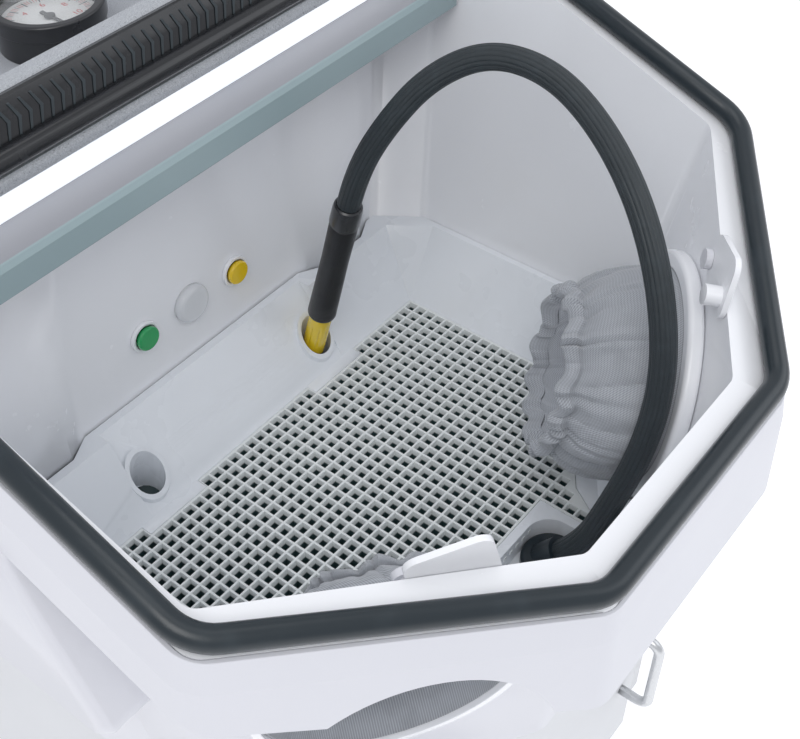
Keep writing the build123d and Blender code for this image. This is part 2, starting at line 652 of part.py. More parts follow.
hose_radii = tangent_radii(hose_points)
with BuildPart() as hose:
    with BuildLine() as hose_path:
        FilletPolyline(*hose_points, radius=hose_radii)
    with BuildSketch(Plane(origin=hose_path.line @ 0, z_dir=hose_path.line % 0)):
        Circle(HOSE_DIAMETER / 2)
    sweep()
write(hose, "hose")
hose_length = sum(edge.length for edge in hose_path.edges())
print("hose radii", [round(radius) for radius in hose_radii])
print("hose length", round(hose_length))
print("hose volume ratio", round(hose.part.volume / (pi * (HOSE_DIAMETER / 2) ** 2 * hose_length), 4))

with BuildPart() as brush_grip:
    extrude(cup_disc(1, GRIP_BOTTOM, GRIP_DIAMETER / 2), amount=GRIP_LENGTH)
    fillet(brush_grip.edges().group_by(Axis.Z)[0], 3)
write(brush_grip, "brush_grip")
with BuildPart() as brush_ferrule:
    extrude(cup_disc(1, BRISTLE_TOP, FERRULE_RADIUS), amount=FERRULE_LENGTH)
write(brush_ferrule, "brush_ferrule")
with BuildPart() as brush_bristles:
    bristle_length = CUP_DEPTH - FIT + BRISTLE_TOP
    extrude(cup_disc(1, BRISTLE_TOP, BRISTLE_RADIUS), amount=-bristle_length)
write(brush_bristles, "brush_bristles")

# ---- glove ports: clamp rings, latches, sleeves --------------------------------------------
SLEEVE_LENGTH = 110.0
SLEEVE_CUFF = 78.0
SLEEVE_SAG = 13.0
SLEEVE_WALL = 3.0
LATCH_CENTRE = (163.0, 104.0)   # radius from the port's centre, degrees from the front
LATCH_PIVOT = (150.0, 93.0)
LATCH_GRIP = (162.0, 111.0)
LATCH_WIDTH = 64.0
LATCH_HEIGHT = 56.0
LATCH_THICKNESS = 5.0
STUD_RADIUS = 5.0
STUD_HEAD = 9.0


def polar(place, side):
    """Local point on a port plane from a radius and an angle up from the front."""
    radius, angle = place
    return (-side * radius * cos(radians(angle)), radius * sin(radians(angle)))


def port_disc(side, offset_in, radius, place=(0.0, 0.0)):
    """Circle on a glove port's wall, moved into the chamber by offset_in."""
    with BuildSketch(port_plane(side).offset(offset_in)) as disc:
        with Locations(polar(place, side)):
            Circle(radius)
    return disc.sketch


for side, word in ((-1, "left"), (1, "right")):
    with BuildPart() as port_ring:
        extrude(port_disc(side, FIT, PORT_RING_RADIUS), amount=RING_PROUD - FIT)
        fillet(port_ring.faces().sort_by(Axis.Y)[-1].edges(), 5)
        extrude(port_disc(side, -RING_SPIGOT, PORT_RADIUS + PORT_BORE_MARGIN - FIT), amount=RING_SPIGOT + FIT)
        extrude(port_disc(side, -RING_SPIGOT, PORT_RADIUS), amount=60, mode=Mode.SUBTRACT)
    write(port_ring, f"{word}_port_ring")
    with BuildPart() as sleeve:
        root = 4 - RING_SPIGOT
        for wall, mode in ((0.0, Mode.ADD), (SLEEVE_WALL, Mode.SUBTRACT)):
            inside = PORT_RADIUS - FIT - wall
            extrude(port_disc(side, root, inside), amount=RING_PROUD - root, mode=mode)
            sections = [port_disc(side, RING_PROUD, inside)]
            with BuildSketch(port_plane(side).offset(SLEEVE_LENGTH)) as cuff:
                with Locations((0, -SLEEVE_SAG)):
                    Circle(SLEEVE_CUFF - wall)
            loft(sections + [cuff.sketch], ruled=True, mode=mode)
    write(sleeve, f"{word}_sleeve")
    with BuildPart() as port_latch:
        with BuildSketch(port_plane(side).offset(FIT)) as lever:
            with Locations(polar(LATCH_CENTRE, side)):
                Rectangle(LATCH_WIDTH, LATCH_HEIGHT, rotation=side * (LATCH_CENTRE[1] - 90))
            fillet(lever.vertices(), 12)
        extrude(lever.sketch, amount=LATCH_THICKNESS)
        extrude(port_disc(side, FIT + LATCH_THICKNESS, STUD_HEAD, LATCH_GRIP), amount=14)
        extrude(port_disc(side, 0, STUD_RADIUS + RUNNING, LATCH_PIVOT), amount=30, mode=Mode.SUBTRACT)
    write(port_latch, f"{word}_port_latch")
with BuildPart() as latch_studs:
    for side in (-1, 1):
        head = FIT + LATCH_THICKNESS + FIT / 2
        extrude(port_disc(side, 0, STUD_RADIUS, LATCH_PIVOT), amount=head)
        extrude(port_disc(side, head, STUD_HEAD, LATCH_PIVOT), amount=6)
write(latch_studs, "latch_studs")

# ---- buttons and lens on the back wall -----------------------------------------------------
BEZEL_RADIUS = 17.0
BEZEL_PROUD = 4.0
CAP_PROUD = 9.0
STEM_RADIUS = 8.0
SWITCH_LENGTH = 26.0
SWITCH_RADIUS = 15.0


def back_wall_disc(x, front, radius):
    """Upright circle at the buttons' height, at a distance in front of the back wall."""
    with BuildSketch(Plane.XZ.offset(front - BACK_Y)) as disc:
        with Locations((x, GRID_TOP_Z + BUTTON_RISE)):
            Circle(radius)
    return disc.sketch


with BuildPart() as button_bezels:
    for x in (-BUTTON_X, BUTTON_X):
        extrude(back_wall_disc(x, FIT / 2, BEZEL_RADIUS), amount=BEZEL_PROUD)
        extrude(back_wall_disc(x, 0, BUTTON_DIAMETER / 2 + FIT), amount=20, mode=Mode.SUBTRACT)
write(button_bezels, "button_bezels")
for x, name in ((-BUTTON_X, "green_button"), (BUTTON_X, "yellow_button")):
    with BuildPart() as button:
        extrude(back_wall_disc(x, BUTTON_TRAVEL + FIT, BUTTON_DIAMETER / 2), amount=CAP_PROUD - BUTTON_TRAVEL)
        fillet(button.edges().sort_by(Axis.Y)[0], 2)
        extrude(back_wall_disc(x, BUTTON_TRAVEL + FIT, STEM_RADIUS), amount=-(SHEET + BUTTON_TRAVEL + SWITCH_LENGTH / 2))
    write(button, name)
with BuildPart() as switch_bodies:
    for x in (-BUTTON_X, BUTTON_X):
        extrude(back_wall_disc(x, -SHEET - FIT / 2, SWITCH_RADIUS), amount=-SWITCH_LENGTH)
        extrude(back_wall_disc(x, 0, STEM_RADIUS + RUNNING), amount=-SHEET - SWITCH_LENGTH + 4, mode=Mode.SUBTRACT)
write(switch_bodies, "switch_bodies")
with BuildPart() as indicator_lens:
    extrude(back_wall_disc(0, FIT / 2, LENS_DIAMETER / 2), amount=9)
    fillet(indicator_lens.edges().sort_by(Axis.Y)[0], 6)
    extrude(back_wall_disc(0, FIT / 2, LENS_HOLE / 2 - FIT), amount=-SHEET - 6)
write(indicator_lens, "indicator_lens")

# ---- gauge on the deck ---------------------------------------------------------------------
GAUGE_X = 3.0
GAUGE_RADIUS = GAUGE_DIAMETER / 2
GAUGE_RING = 5.0
GAUGE_CASE = GAUGE_HEIGHT - 9.0
DIAL_DROP = 10.0
NEEDLE_LENGTH = 36.0
SHAFT_RADIUS = 1.5


def gauge_disc(rise, radius):
    """Level circle about the gauge's axis at a height over the deck."""
    with BuildSketch(level(DECK_RISE + rise)) as disc:
        with Locations((GAUGE_X, BACK_Y + GAUGE_BACK)):
            Circle(radius)
    return disc.sketch


with BuildPart() as gauge_case:
    extrude(gauge_disc(FIT / 2, GAUGE_RADIUS), amount=GAUGE_CASE)
    extrude(gauge_disc(GAUGE_CASE - DIAL_DROP, GAUGE_RADIUS - GAUGE_RING), amount=30, mode=Mode.SUBTRACT)
    extrude(gauge_disc(GAUGE_CASE - DIAL_DROP - 8, SHAFT_RADIUS + RUNNING), amount=30, mode=Mode.SUBTRACT)
write(gauge_case, "gauge_case")
with BuildPart() as gauge_dial:
    extrude(gauge_disc(GAUGE_CASE - DIAL_DROP + FIT / 2, GAUGE_RADIUS - GAUGE_RING - FIT / 2), amount=1.5)
    extrude(gauge_disc(GAUGE_CASE - DIAL_DROP, SHAFT_RADIUS + RUNNING), amount=30, mode=Mode.SUBTRACT)
write(gauge_dial, "gauge_dial")
with BuildPart() as gauge_needle:
    needle_base = GAUGE_CASE - DIAL_DROP + 2.5
    extrude(gauge_disc(needle_base, 5), amount=2)
    extrude(gauge_disc(needle_base - 8, SHAFT_RADIUS), amount=8)
    with BuildSketch(level(DECK_RISE + needle_base)) as pointer:
        with Locations((GAUGE_X, BACK_Y + GAUGE_BACK)):
            Polygon((-2, 12), (2, 12), (1, -NEEDLE_LENGTH), (-1, -NEEDLE_LENGTH), align=None)
    extrude(pointer.sketch, amount=1.5)
write(gauge_needle, "gauge_needle")
with BuildPart() as gauge_glass:
    extrude(gauge_disc(GAUGE_CASE + FIT, GAUGE_RADIUS - 1), amount=2.5)
write(gauge_glass, "gauge_glass")
with BuildPart() as gauge_bezel:
    extrude(gauge_disc(GAUGE_CASE + 3 + FIT, GAUGE_RADIUS + 2), amount=GAUGE_HEIGHT - GAUGE_CASE - 3)
    fillet(gauge_bezel.edges().sort_by(Axis.Z)[-1], 2.5)
    extrude(gauge_disc(GAUGE_CASE - 6, GAUGE_RADIUS + 2), amount=9 + FIT)
    extrude(gauge_disc(GAUGE_CASE - 8, GAUGE_RADIUS + FIT / 2), amount=11 + FIT, mode=Mode.SUBTRACT)
    extrude(gauge_disc(GAUGE_CASE - 8, GAUGE_RADIUS - 6), amount=40, mode=Mode.SUBTRACT)
write(gauge_bezel, "gauge_bezel")

# ---- hood: built shut, then turned open about its hinge ------------------------------------
HOOD_LIFT = SEAL_DIAMETER / 2 + FIT
HOOD_PLANE = RIM_PLANE.offset(HOOD_LIFT)
HOOD_REAR = BACK_Y - 16.0
HOOD_EDGE = -6.0                # seal line to the hood's side walls
HOOD_LIP = -12.0
HOOD_TOP_INSET = (60.0, 50.0, 60.0)
WINDOW_MARGIN = 44.0
WINDOW_SHEET = 3.0
ARM_HALF = 330.0                # middle to the inner side of a hinge arm
ARM_THICKNESS = 8.0
ARM_RADIUS = 15.0
BRACKET_HALF = ARM_HALF + ARM_THICKNESS + 3
BRACKET_THICKNESS = 10.0
HINGE = Axis((0, BACK_Y + HINGE_BACK, GRID_TOP_Z + HINGE_RISE), (1, 0, 0))


def write_open(builder, name):
    """Turn a hood piece from shut to open and write it."""
    opened = builder.part.rotate(HINGE, -HOOD_OPEN)
    opened.label = name
    export_step(opened, f"parts/{name}.step")


def hood_section(insets, rise, grow=0.0):
    """Section of the hood parallel to the rim, at a height over its lip."""
    corners = outline(*[inset - grow for inset in insets], HOOD_REAR - (0 if rise == 0 else 20) + grow)
    return plan(on_rim(corners, -HOOD_LIFT), HOOD_PLANE.offset(rise), 24)


def hinge_disc(x, radius):
    """Circle about the hinge axis at x."""
    with BuildSketch(Plane.YZ.offset(x)) as disc:
        with Locations((BACK_Y + HINGE_BACK, GRID_TOP_Z + HINGE_RISE)):
            Circle(radius)
    return disc.sketch


with BuildPart() as hood_shell:
    foot = (HOOD_EDGE, HOOD_EDGE, HOOD_EDGE)
    loft([hood_section(foot, 0), hood_section(HOOD_TOP_INSET, HOOD_HEIGHT)], ruled=True)
    extrude(hood_section((HOOD_LIP, HOOD_LIP, HOOD_LIP), 0), amount=HOOD_WALL)
    inner_top = hood_section(HOOD_TOP_INSET, HOOD_HEIGHT - HOOD_WALL, -HOOD_WALL)
    loft([hood_section(foot, 0, -HOOD_WALL), inner_top], ruled=True, mode=Mode.SUBTRACT)
    extrude(hood_section(HOOD_TOP_INSET, HOOD_HEIGHT - 20, -WINDOW_MARGIN), amount=40, mode=Mode.SUBTRACT)
    arm = [(-70, 478), (-16, 478), (HINGE_BACK, HINGE_RISE - ARM_RADIUS), (HINGE_BACK, HINGE_RISE + ARM_RADIUS), (-70, 530)]
    for side in (-1, 1):
        start = side * ARM_HALF
        extrude(plan(from_back(arm), Plane.YZ.offset(start)), amount=side * ARM_THICKNESS)
        extrude(hinge_disc(start, ARM_RADIUS), amount=side * ARM_THICKNESS)
        extrude(hinge_disc(start - side, HINGE_PIN / 2 + RUNNING), amount=side * 20, mode=Mode.SUBTRACT)
write_open(hood_shell, "hood_shell")
with BuildPart() as hood_window:
    extrude(hood_section(HOOD_TOP_INSET, HOOD_HEIGHT + FIT / 2, 12 - WINDOW_MARGIN), amount=WINDOW_SHEET)
write_open(hood_window, "hood_window")
with BuildPart() as window_frame:
    frame_rise = HOOD_HEIGHT + WINDOW_SHEET + FIT
    extrude(hood_section(HOOD_TOP_INSET, frame_rise, 20 - WINDOW_MARGIN), amount=5)
    extrude(hood_section(HOOD_TOP_INSET, HOOD_HEIGHT, -WINDOW_MARGIN), amount=20, mode=Mode.SUBTRACT)
write_open(window_frame, "hood_window_frame")
HANDLE_HALF = 80.0
HANDLE_OUT = 40.0               # hood's front wall to the handle's bar
HANDLE_RISE = 70.0
with BuildPart() as hood_handle:
    wall_lean = (HOOD_TOP_INSET[2] - HOOD_EDGE) / HOOD_HEIGHT
    wall_y = HOOD_EDGE + wall_lean * HANDLE_RISE - FIT
    bar_y = wall_y - HANDLE_OUT
    with BuildLine(HOOD_PLANE.offset(HANDLE_RISE)) as bow:
        FilletPolyline(
            (-HANDLE_HALF, wall_y), (-HANDLE_HALF, bar_y), (HANDLE_HALF, bar_y), (HANDLE_HALF, wall_y),
            radius=18,
        )
    with BuildSketch(Plane(origin=bow.line @ 0, z_dir=bow.line % 0)):
        Circle(8)
    sweep()
    loft([hood_section(foot, 0, FIT), hood_section(HOOD_TOP_INSET, HOOD_HEIGHT, FIT)], ruled=True, mode=Mode.SUBTRACT)
write_open(hood_handle, "hood_handle")

# ---- hinge brackets and pins ---------------------------------------------------------------
with BuildPart() as hinge_brackets:
    for side in (-1, 1):
        start = side * BRACKET_HALF
        upright = [
            (HINGE_BACK - 30, DECK_RISE + FIT / 2), (HINGE_BACK - ARM_RADIUS, HINGE_RISE),
            (HINGE_BACK + ARM_RADIUS, HINGE_RISE), (HINGE_BACK + 18, DECK_RISE + FIT / 2),
        ]
        extrude(plan(from_back(upright), Plane.YZ.offset(start)), amount=side * BRACKET_THICKNESS)
        extrude(hinge_disc(start, ARM_RADIUS), amount=side * BRACKET_THICKNESS)
        extrude(hinge_disc(start - side, HINGE_PIN / 2), amount=side * 30, mode=Mode.SUBTRACT)
write(hinge_brackets, "hinge_brackets")
with BuildPart() as hinge_pins:
    for side in (-1, 1):
        start = side * (ARM_HALF - 2)
        extrude(hinge_disc(start, HINGE_PIN / 2), amount=side * (ARM_THICKNESS + BRACKET_THICKNESS + 7))
        extrude(hinge_disc(start, HINGE_PIN / 2 + 3), amount=-side * 4)
write(hinge_pins, "hinge_pins")

# ---- base cabinet and door -----------------------------------------------------------------
BASE_SHEET = 3.0
DOOR_HALF = 205.0
DOOR_BOTTOM_Z = 150.0
DOOR_TOP_Z = 505.0
DOOR_THICKNESS = 18.0
DOOR_REBATE = 10.0
DOOR_PIN = 4.0
DOOR_GAP = 3.5
LUG = 12.0
BASE_FRONT_Y = BACK_Y - BASE_FRONT
BASE_REAR_Y = BACK_Y + BASE_BACK
DOOR_AXIS_X = -DOOR_HALF + DOOR_THICKNESS / 2
DOOR_AXIS_Y = BASE_FRONT_Y - DOOR_GAP - DOOR_THICKNESS / 2
CASTOR_X = BASE_HALF_WIDTH - 45
CASTOR_FRONT_Y = BASE_FRONT_Y + 60
CASTOR_REAR_Y = BASE_REAR_Y - 60


def floor_box(low, high, mode=Mode.ADD):
    """Box between two corners, in the current part."""
    with BuildSketch(Plane.XY.offset(low[2])) as foot_print:
        with Locations(((low[0] + high[0]) / 2, (low[1] + high[1]) / 2)):
            Rectangle(high[0] - low[0], high[1] - low[1])
    extrude(foot_print.sketch, amount=high[2] - low[2], mode=mode)


def floor_disc(x, y, z, radius):
    """Level circle at a point of the frame."""
    with BuildSketch(Plane.XY.offset(z)) as disc:
        with Locations((x, y)):
            Circle(radius)
    return disc.sketch


with BuildPart() as base_cabinet:
    half = BASE_HALF_WIDTH
    floor_box((-half, BASE_FRONT_Y, BASE_BOTTOM_Z), (half, BASE_REAR_Y, BASE_TOP_Z))
    fillet(base_cabinet.edges().filter_by(Axis.Z), 12)
    inner = half - BASE_SHEET
    floor_box(
        (-inner, BASE_FRONT_Y + BASE_SHEET, BASE_BOTTOM_Z + BASE_SHEET),
        (inner, BASE_REAR_Y - BASE_SHEET, BASE_TOP_Z - BASE_SHEET),
        Mode.SUBTRACT,
    )
    hole = DOOR_HALF - DOOR_REBATE
    floor_box(
        (-hole, BASE_FRONT_Y - 10, DOOR_BOTTOM_Z + DOOR_REBATE),
        (hole, BASE_FRONT_Y + 20, DOOR_TOP_Z - DOOR_REBATE),
        Mode.SUBTRACT,
    )
    for low, high in ((DOOR_BOTTOM_Z - LUG - FIT, DOOR_BOTTOM_Z - FIT), (DOOR_TOP_Z + FIT, DOOR_TOP_Z + FIT + LUG)):
        floor_box(
            (DOOR_AXIS_X - LUG, DOOR_AXIS_Y - LUG + 3, low),
            (DOOR_AXIS_X + LUG, BASE_FRONT_Y + 1, high),
        )
        extrude(floor_disc(DOOR_AXIS_X, DOOR_AXIS_Y, low - 1, DOOR_PIN), amount=LUG + 2, mode=Mode.SUBTRACT)
    for x, front, diameter in ((PIPE_X, PIPE_FRONT, PIPE_DIAMETER), (0, DRAIN_FRONT, DRAIN_DIAMETER)):
        extrude(floor_disc(x, BACK_Y - front, BASE_TOP_Z - 10, diameter / 2 + FIT), amount=20, mode=Mode.SUBTRACT)
write(base_cabinet, "base_cabinet")
with BuildPart() as cabinet_door:
    floor_box(
        (-DOOR_HALF, DOOR_AXIS_Y - DOOR_THICKNESS / 2, DOOR_BOTTOM_Z),
        (DOOR_HALF, DOOR_AXIS_Y + DOOR_THICKNESS / 2, DOOR_TOP_Z),
    )
    fillet(cabinet_door.edges().filter_by(Axis.Z).group_by(Axis.X)[0], DOOR_THICKNESS / 2 - 0.5)
    fillet(cabinet_door.edges().filter_by(Axis.Z).sort_by(Axis.X)[-2:], 4)
    extrude(floor_disc(DOOR_AXIS_X, DOOR_AXIS_Y, DOOR_BOTTOM_Z - 1, DOOR_PIN + RUNNING), amount=600, mode=Mode.SUBTRACT)
write(cabinet_door, "cabinet_door")
with BuildPart() as door_pins:
    for low in (DOOR_BOTTOM_Z - LUG - FIT, DOOR_TOP_Z + FIT - 20):
        extrude(floor_disc(DOOR_AXIS_X, DOOR_AXIS_Y, low, DOOR_PIN), amount=LUG + 20)
write(door_pins, "door_hinge_pins")
with BuildPart() as door_handle:
    front_y = DOOR_AXIS_Y - DOOR_THICKNESS / 2 - FIT / 2
    handle_x = DOOR_HALF - 35
    middle_z = (DOOR_BOTTOM_Z + DOOR_TOP_Z) / 2
    with BuildLine(Plane.YZ.offset(handle_x)) as pull:
        FilletPolyline(
            (front_y, middle_z - 60), (front_y - 35, middle_z - 60),
            (front_y - 35, middle_z + 60), (front_y, middle_z + 60),
            radius=14,
        )
    with BuildSketch(Plane(origin=pull.line @ 0, z_dir=pull.line % 0)):
        Circle(6)
    sweep()
write(door_handle, "cabinet_door_handle")

# ---- fluid reservoir, pump, filter, pipes --------------------------------------------------
TANK_HALF = 220.0
TANK_FRONT_Y = BASE_FRONT_Y + 16
TANK_REAR_Y = BACK_Y + 60
TANK_HEIGHT = 190.0
TANK_WALL = 4.0
TANK_FLOOR_Z = BASE_BOTTOM_Z + BASE_SHEET + FIT
PUMP_RADIUS = 25.0
PUMP_HEIGHT = 110.0
FILTER_RADIUS = 62.0
FILTER_HEIGHT = 130.0
with BuildPart() as reservoir:
    floor_box((-TANK_HALF, TANK_FRONT_Y, TANK_FLOOR_Z), (TANK_HALF, TANK_REAR_Y, TANK_FLOOR_Z + TANK_HEIGHT))
    fillet(reservoir.edges().filter_by(Axis.Z), 20)
    inner = TANK_HALF - TANK_WALL
    with BuildSketch(Plane.XY.offset(TANK_FLOOR_Z + TANK_WALL)) as inside:
        with Locations((0, (TANK_FRONT_Y + TANK_REAR_Y) / 2)):
            RectangleRounded(2 * inner, TANK_REAR_Y - TANK_FRONT_Y - 2 * TANK_WALL, 16)
    extrude(inside.sketch, amount=TANK_HEIGHT, mode=Mode.SUBTRACT)
write(reservoir, "fluid_reservoir")
tank_inside_z = TANK_FLOOR_Z + TANK_WALL + FIT
with BuildPart() as pump:
    pump_y = max(BACK_Y - PIPE_FRONT, TANK_FRONT_Y + TANK_WALL + PUMP_RADIUS + 1)
    extrude(floor_disc(PIPE_X, pump_y, tank_inside_z, PUMP_RADIUS), amount=PUMP_HEIGHT)
    fillet(pump.edges().group_by(Axis.Z)[-1], 8)
write(pump, "pump")
with BuildPart() as supply_pipe:
    top = GRID_TOP_Z - RECESS_DEPTH
    bottom = tank_inside_z + PUMP_HEIGHT
    extrude(floor_disc(PIPE_X, BACK_Y - PIPE_FRONT, bottom, PIPE_DIAMETER / 2), amount=top - bottom)
    extrude(floor_disc(PIPE_X, BACK_Y - PIPE_FRONT, bottom, PIPE_DIAMETER / 2 - 2), amount=top - bottom, mode=Mode.SUBTRACT)
write(supply_pipe, "supply_pipe")
with BuildPart() as filter_canister:
    extrude(floor_disc(0, BACK_Y - DRAIN_FRONT, tank_inside_z, FILTER_RADIUS), amount=FILTER_HEIGHT)
    fillet(filter_canister.edges().group_by(Axis.Z)[-1], 6)
    inlet = floor_disc(0, BACK_Y - DRAIN_FRONT, tank_inside_z + 20, DRAIN_DIAMETER / 2 + FIT)
    extrude(inlet, amount=FILTER_HEIGHT, mode=Mode.SUBTRACT)
write(filter_canister, "filter_canister")
with BuildPart() as drain_pipe:
    bottom = tank_inside_z + FILTER_HEIGHT - 30
    top = GRID_TOP_Z - SUMP_DEPTH - TRAY_WALL
    extrude(floor_disc(0, BACK_Y - DRAIN_FRONT, bottom, DRAIN_DIAMETER / 2), amount=top - bottom)
    extrude(floor_disc(0, BACK_Y - DRAIN_FRONT, bottom, DRAIN_DIAMETER / 2 - 2.5), amount=top - bottom, mode=Mode.SUBTRACT)
write(drain_pipe, "drain_pipe")

# ---- castors -------------------------------------------------------------------------------
PLATE_HALF = 38.0
PLATE_THICKNESS = 4.0
WHEEL_RADIUS = CASTOR_WHEEL / 2
WHEEL_WIDTH = 30.0
TRAIL = 25.0
AXLE_RADIUS = 5.0
FORK_SHEET = 4.0
SPINDLE_RADIUS = 8.0
PLATE_Z = BASE_BOTTOM_Z - PLATE_THICKNESS - FIT / 2
CASTORS = {
    "front_left": (-CASTOR_X, CASTOR_FRONT_Y),
    "front_right": (CASTOR_X, CASTOR_FRONT_Y),
    "rear_left": (-CASTOR_X, CASTOR_REAR_Y),
    "rear_right": (CASTOR_X, CASTOR_REAR_Y),
}


def wheel_disc(x, y, start, radius):
    """Upright circle about a wheel's axis, start along x from the wheel's middle."""
    with BuildSketch(Plane.YZ.offset(x + start)) as disc:
        with Locations((y, WHEEL_RADIUS)):
            Circle(radius)
    return disc.sketch


with BuildPart() as castor_plates:
    for x, y in CASTORS.values():
        floor_box((x - PLATE_HALF, y - PLATE_HALF, PLATE_Z), (x + PLATE_HALF, y + PLATE_HALF, PLATE_Z + PLATE_THICKNESS))
        extrude(floor_disc(x, y, PLATE_Z - 10, SPINDLE_RADIUS + 8), amount=10)
        extrude(floor_disc(x, y, PLATE_Z - 20, SPINDLE_RADIUS + RUNNING), amount=20 + PLATE_THICKNESS - 1, mode=Mode.SUBTRACT)
write(castor_plates, "castor_plates")
for corner, (x, y) in CASTORS.items():
    wheel_y = y + TRAIL
    crown_z = PLATE_Z - 10 - FIT
    with BuildPart() as fork:
        reach = WHEEL_WIDTH / 2 + 2
        extrude(floor_disc(x, y, crown_z - FORK_SHEET, reach + FORK_SHEET), amount=FORK_SHEET)
        extrude(floor_disc(x, y, crown_z, SPINDLE_RADIUS), amount=10 + PLATE_THICKNESS - 2)
        for turn in (-1, 1):
            side_x = x + turn * reach
            arm = [(y - 14, crown_z), (y + 18, crown_z), (wheel_y + 10, WHEEL_RADIUS), (wheel_y - 10, WHEEL_RADIUS)]
            extrude(plan(arm, Plane.YZ.offset(side_x)), amount=turn * FORK_SHEET)
            extrude(wheel_disc(x, wheel_y, turn * reach, 12), amount=turn * FORK_SHEET)
        extrude(wheel_disc(x, wheel_y, -reach - FORK_SHEET - 3, AXLE_RADIUS), amount=2 * (reach + FORK_SHEET + 3))
    write(fork, f"{corner}_castor_fork")
    with BuildPart() as wheel:
        extrude(wheel_disc(x, wheel_y, -WHEEL_WIDTH / 2, WHEEL_RADIUS), amount=WHEEL_WIDTH)
        fillet(wheel.edges().filter_by(GeomType.CIRCLE), 5)
        extrude(wheel_disc(x, wheel_y, -WHEEL_WIDTH, AXLE_RADIUS + RUNNING), amount=2 * WHEEL_WIDTH, mode=Mode.SUBTRACT)
    write(wheel, f"{corner}_castor_wheel")
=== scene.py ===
"""Parts washer tank: the finished model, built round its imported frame."""

from __future__ import annotations

import enum
import json
import logging
import math
from collections.abc import Callable
from dataclasses import dataclass, field

import bmesh
import bpy
from mathutils import Matrix, Vector, noise
from mathutils.geometry import delaunay_2d_cdt

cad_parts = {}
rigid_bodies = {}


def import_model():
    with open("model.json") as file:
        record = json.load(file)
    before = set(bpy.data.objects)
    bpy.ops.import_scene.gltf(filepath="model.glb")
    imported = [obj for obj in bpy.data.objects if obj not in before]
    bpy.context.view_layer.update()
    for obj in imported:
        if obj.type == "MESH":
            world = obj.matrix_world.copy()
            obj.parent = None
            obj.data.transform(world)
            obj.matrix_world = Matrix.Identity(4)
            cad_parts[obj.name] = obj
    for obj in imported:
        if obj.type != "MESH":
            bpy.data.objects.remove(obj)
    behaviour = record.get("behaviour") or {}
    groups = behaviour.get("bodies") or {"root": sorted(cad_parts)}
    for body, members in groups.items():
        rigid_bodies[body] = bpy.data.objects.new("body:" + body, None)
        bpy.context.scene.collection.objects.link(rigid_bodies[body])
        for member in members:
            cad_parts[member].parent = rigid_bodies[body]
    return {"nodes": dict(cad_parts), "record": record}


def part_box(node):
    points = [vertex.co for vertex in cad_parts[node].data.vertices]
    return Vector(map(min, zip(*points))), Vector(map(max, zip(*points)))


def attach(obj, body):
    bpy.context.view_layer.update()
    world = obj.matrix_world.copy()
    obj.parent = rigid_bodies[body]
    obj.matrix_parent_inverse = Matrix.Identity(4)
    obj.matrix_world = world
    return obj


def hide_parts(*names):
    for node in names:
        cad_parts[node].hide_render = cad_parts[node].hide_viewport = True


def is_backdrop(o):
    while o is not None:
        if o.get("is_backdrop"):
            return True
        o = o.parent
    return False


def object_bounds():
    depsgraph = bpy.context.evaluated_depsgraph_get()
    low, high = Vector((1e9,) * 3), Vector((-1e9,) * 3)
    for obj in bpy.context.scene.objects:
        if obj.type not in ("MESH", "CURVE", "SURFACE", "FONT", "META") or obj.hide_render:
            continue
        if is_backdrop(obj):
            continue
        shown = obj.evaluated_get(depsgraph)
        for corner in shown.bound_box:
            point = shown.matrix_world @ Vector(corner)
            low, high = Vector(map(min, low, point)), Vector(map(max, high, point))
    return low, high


LOG = logging.getLogger("parts_washer")
FULL_TURN = 2 * math.pi


# ---- frame -----------------------------------------------------------------------------------


class Frame:
    """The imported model, and the lines of it that pieces are placed from."""

    def __init__(self) -> None:
        """Load the frame and read the lines that the pieces share."""
        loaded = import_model()
        self.cad_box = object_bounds()
        self.nodes = loaded["nodes"]
        record = loaded["record"]
        self.body_of = {
            node: body for body, nodes in record["behaviour"]["bodies"].items() for node in nodes
        }
        self.slot_of = {part["node"]: part["material_slot"] for part in record["subparts"]}
        low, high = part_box("grid")
        self.grid_low, self.grid_high = Vector(low), Vector(high)
        self.grid_top = high[2]
        self.back_wall = high[1] + GridSizes.setback - GridSizes.rib / 2

    def at(self, x: float, y: float, z: float) -> Vector:
        """Point given from the middle plane, the back wall and the grid's top.

        Args:
            x: distance from the middle plane.
            y: distance from the back wall.
            z: height over the grid.

        Returns:
            The point in the row frame.
        """
        return Vector((x, self.back_wall + y, self.grid_top + z))


@dataclass(frozen=True)
class GridSizes:
    """Sizes of the work grid, in metres."""

    setback: float = 0.073
    rib: float = 0.0032
    cell: float = 0.013
    thickness: float = 0.014
    columns: int = 41
    rows: int = 22


# ---- shader helpers --------------------------------------------------------------------------


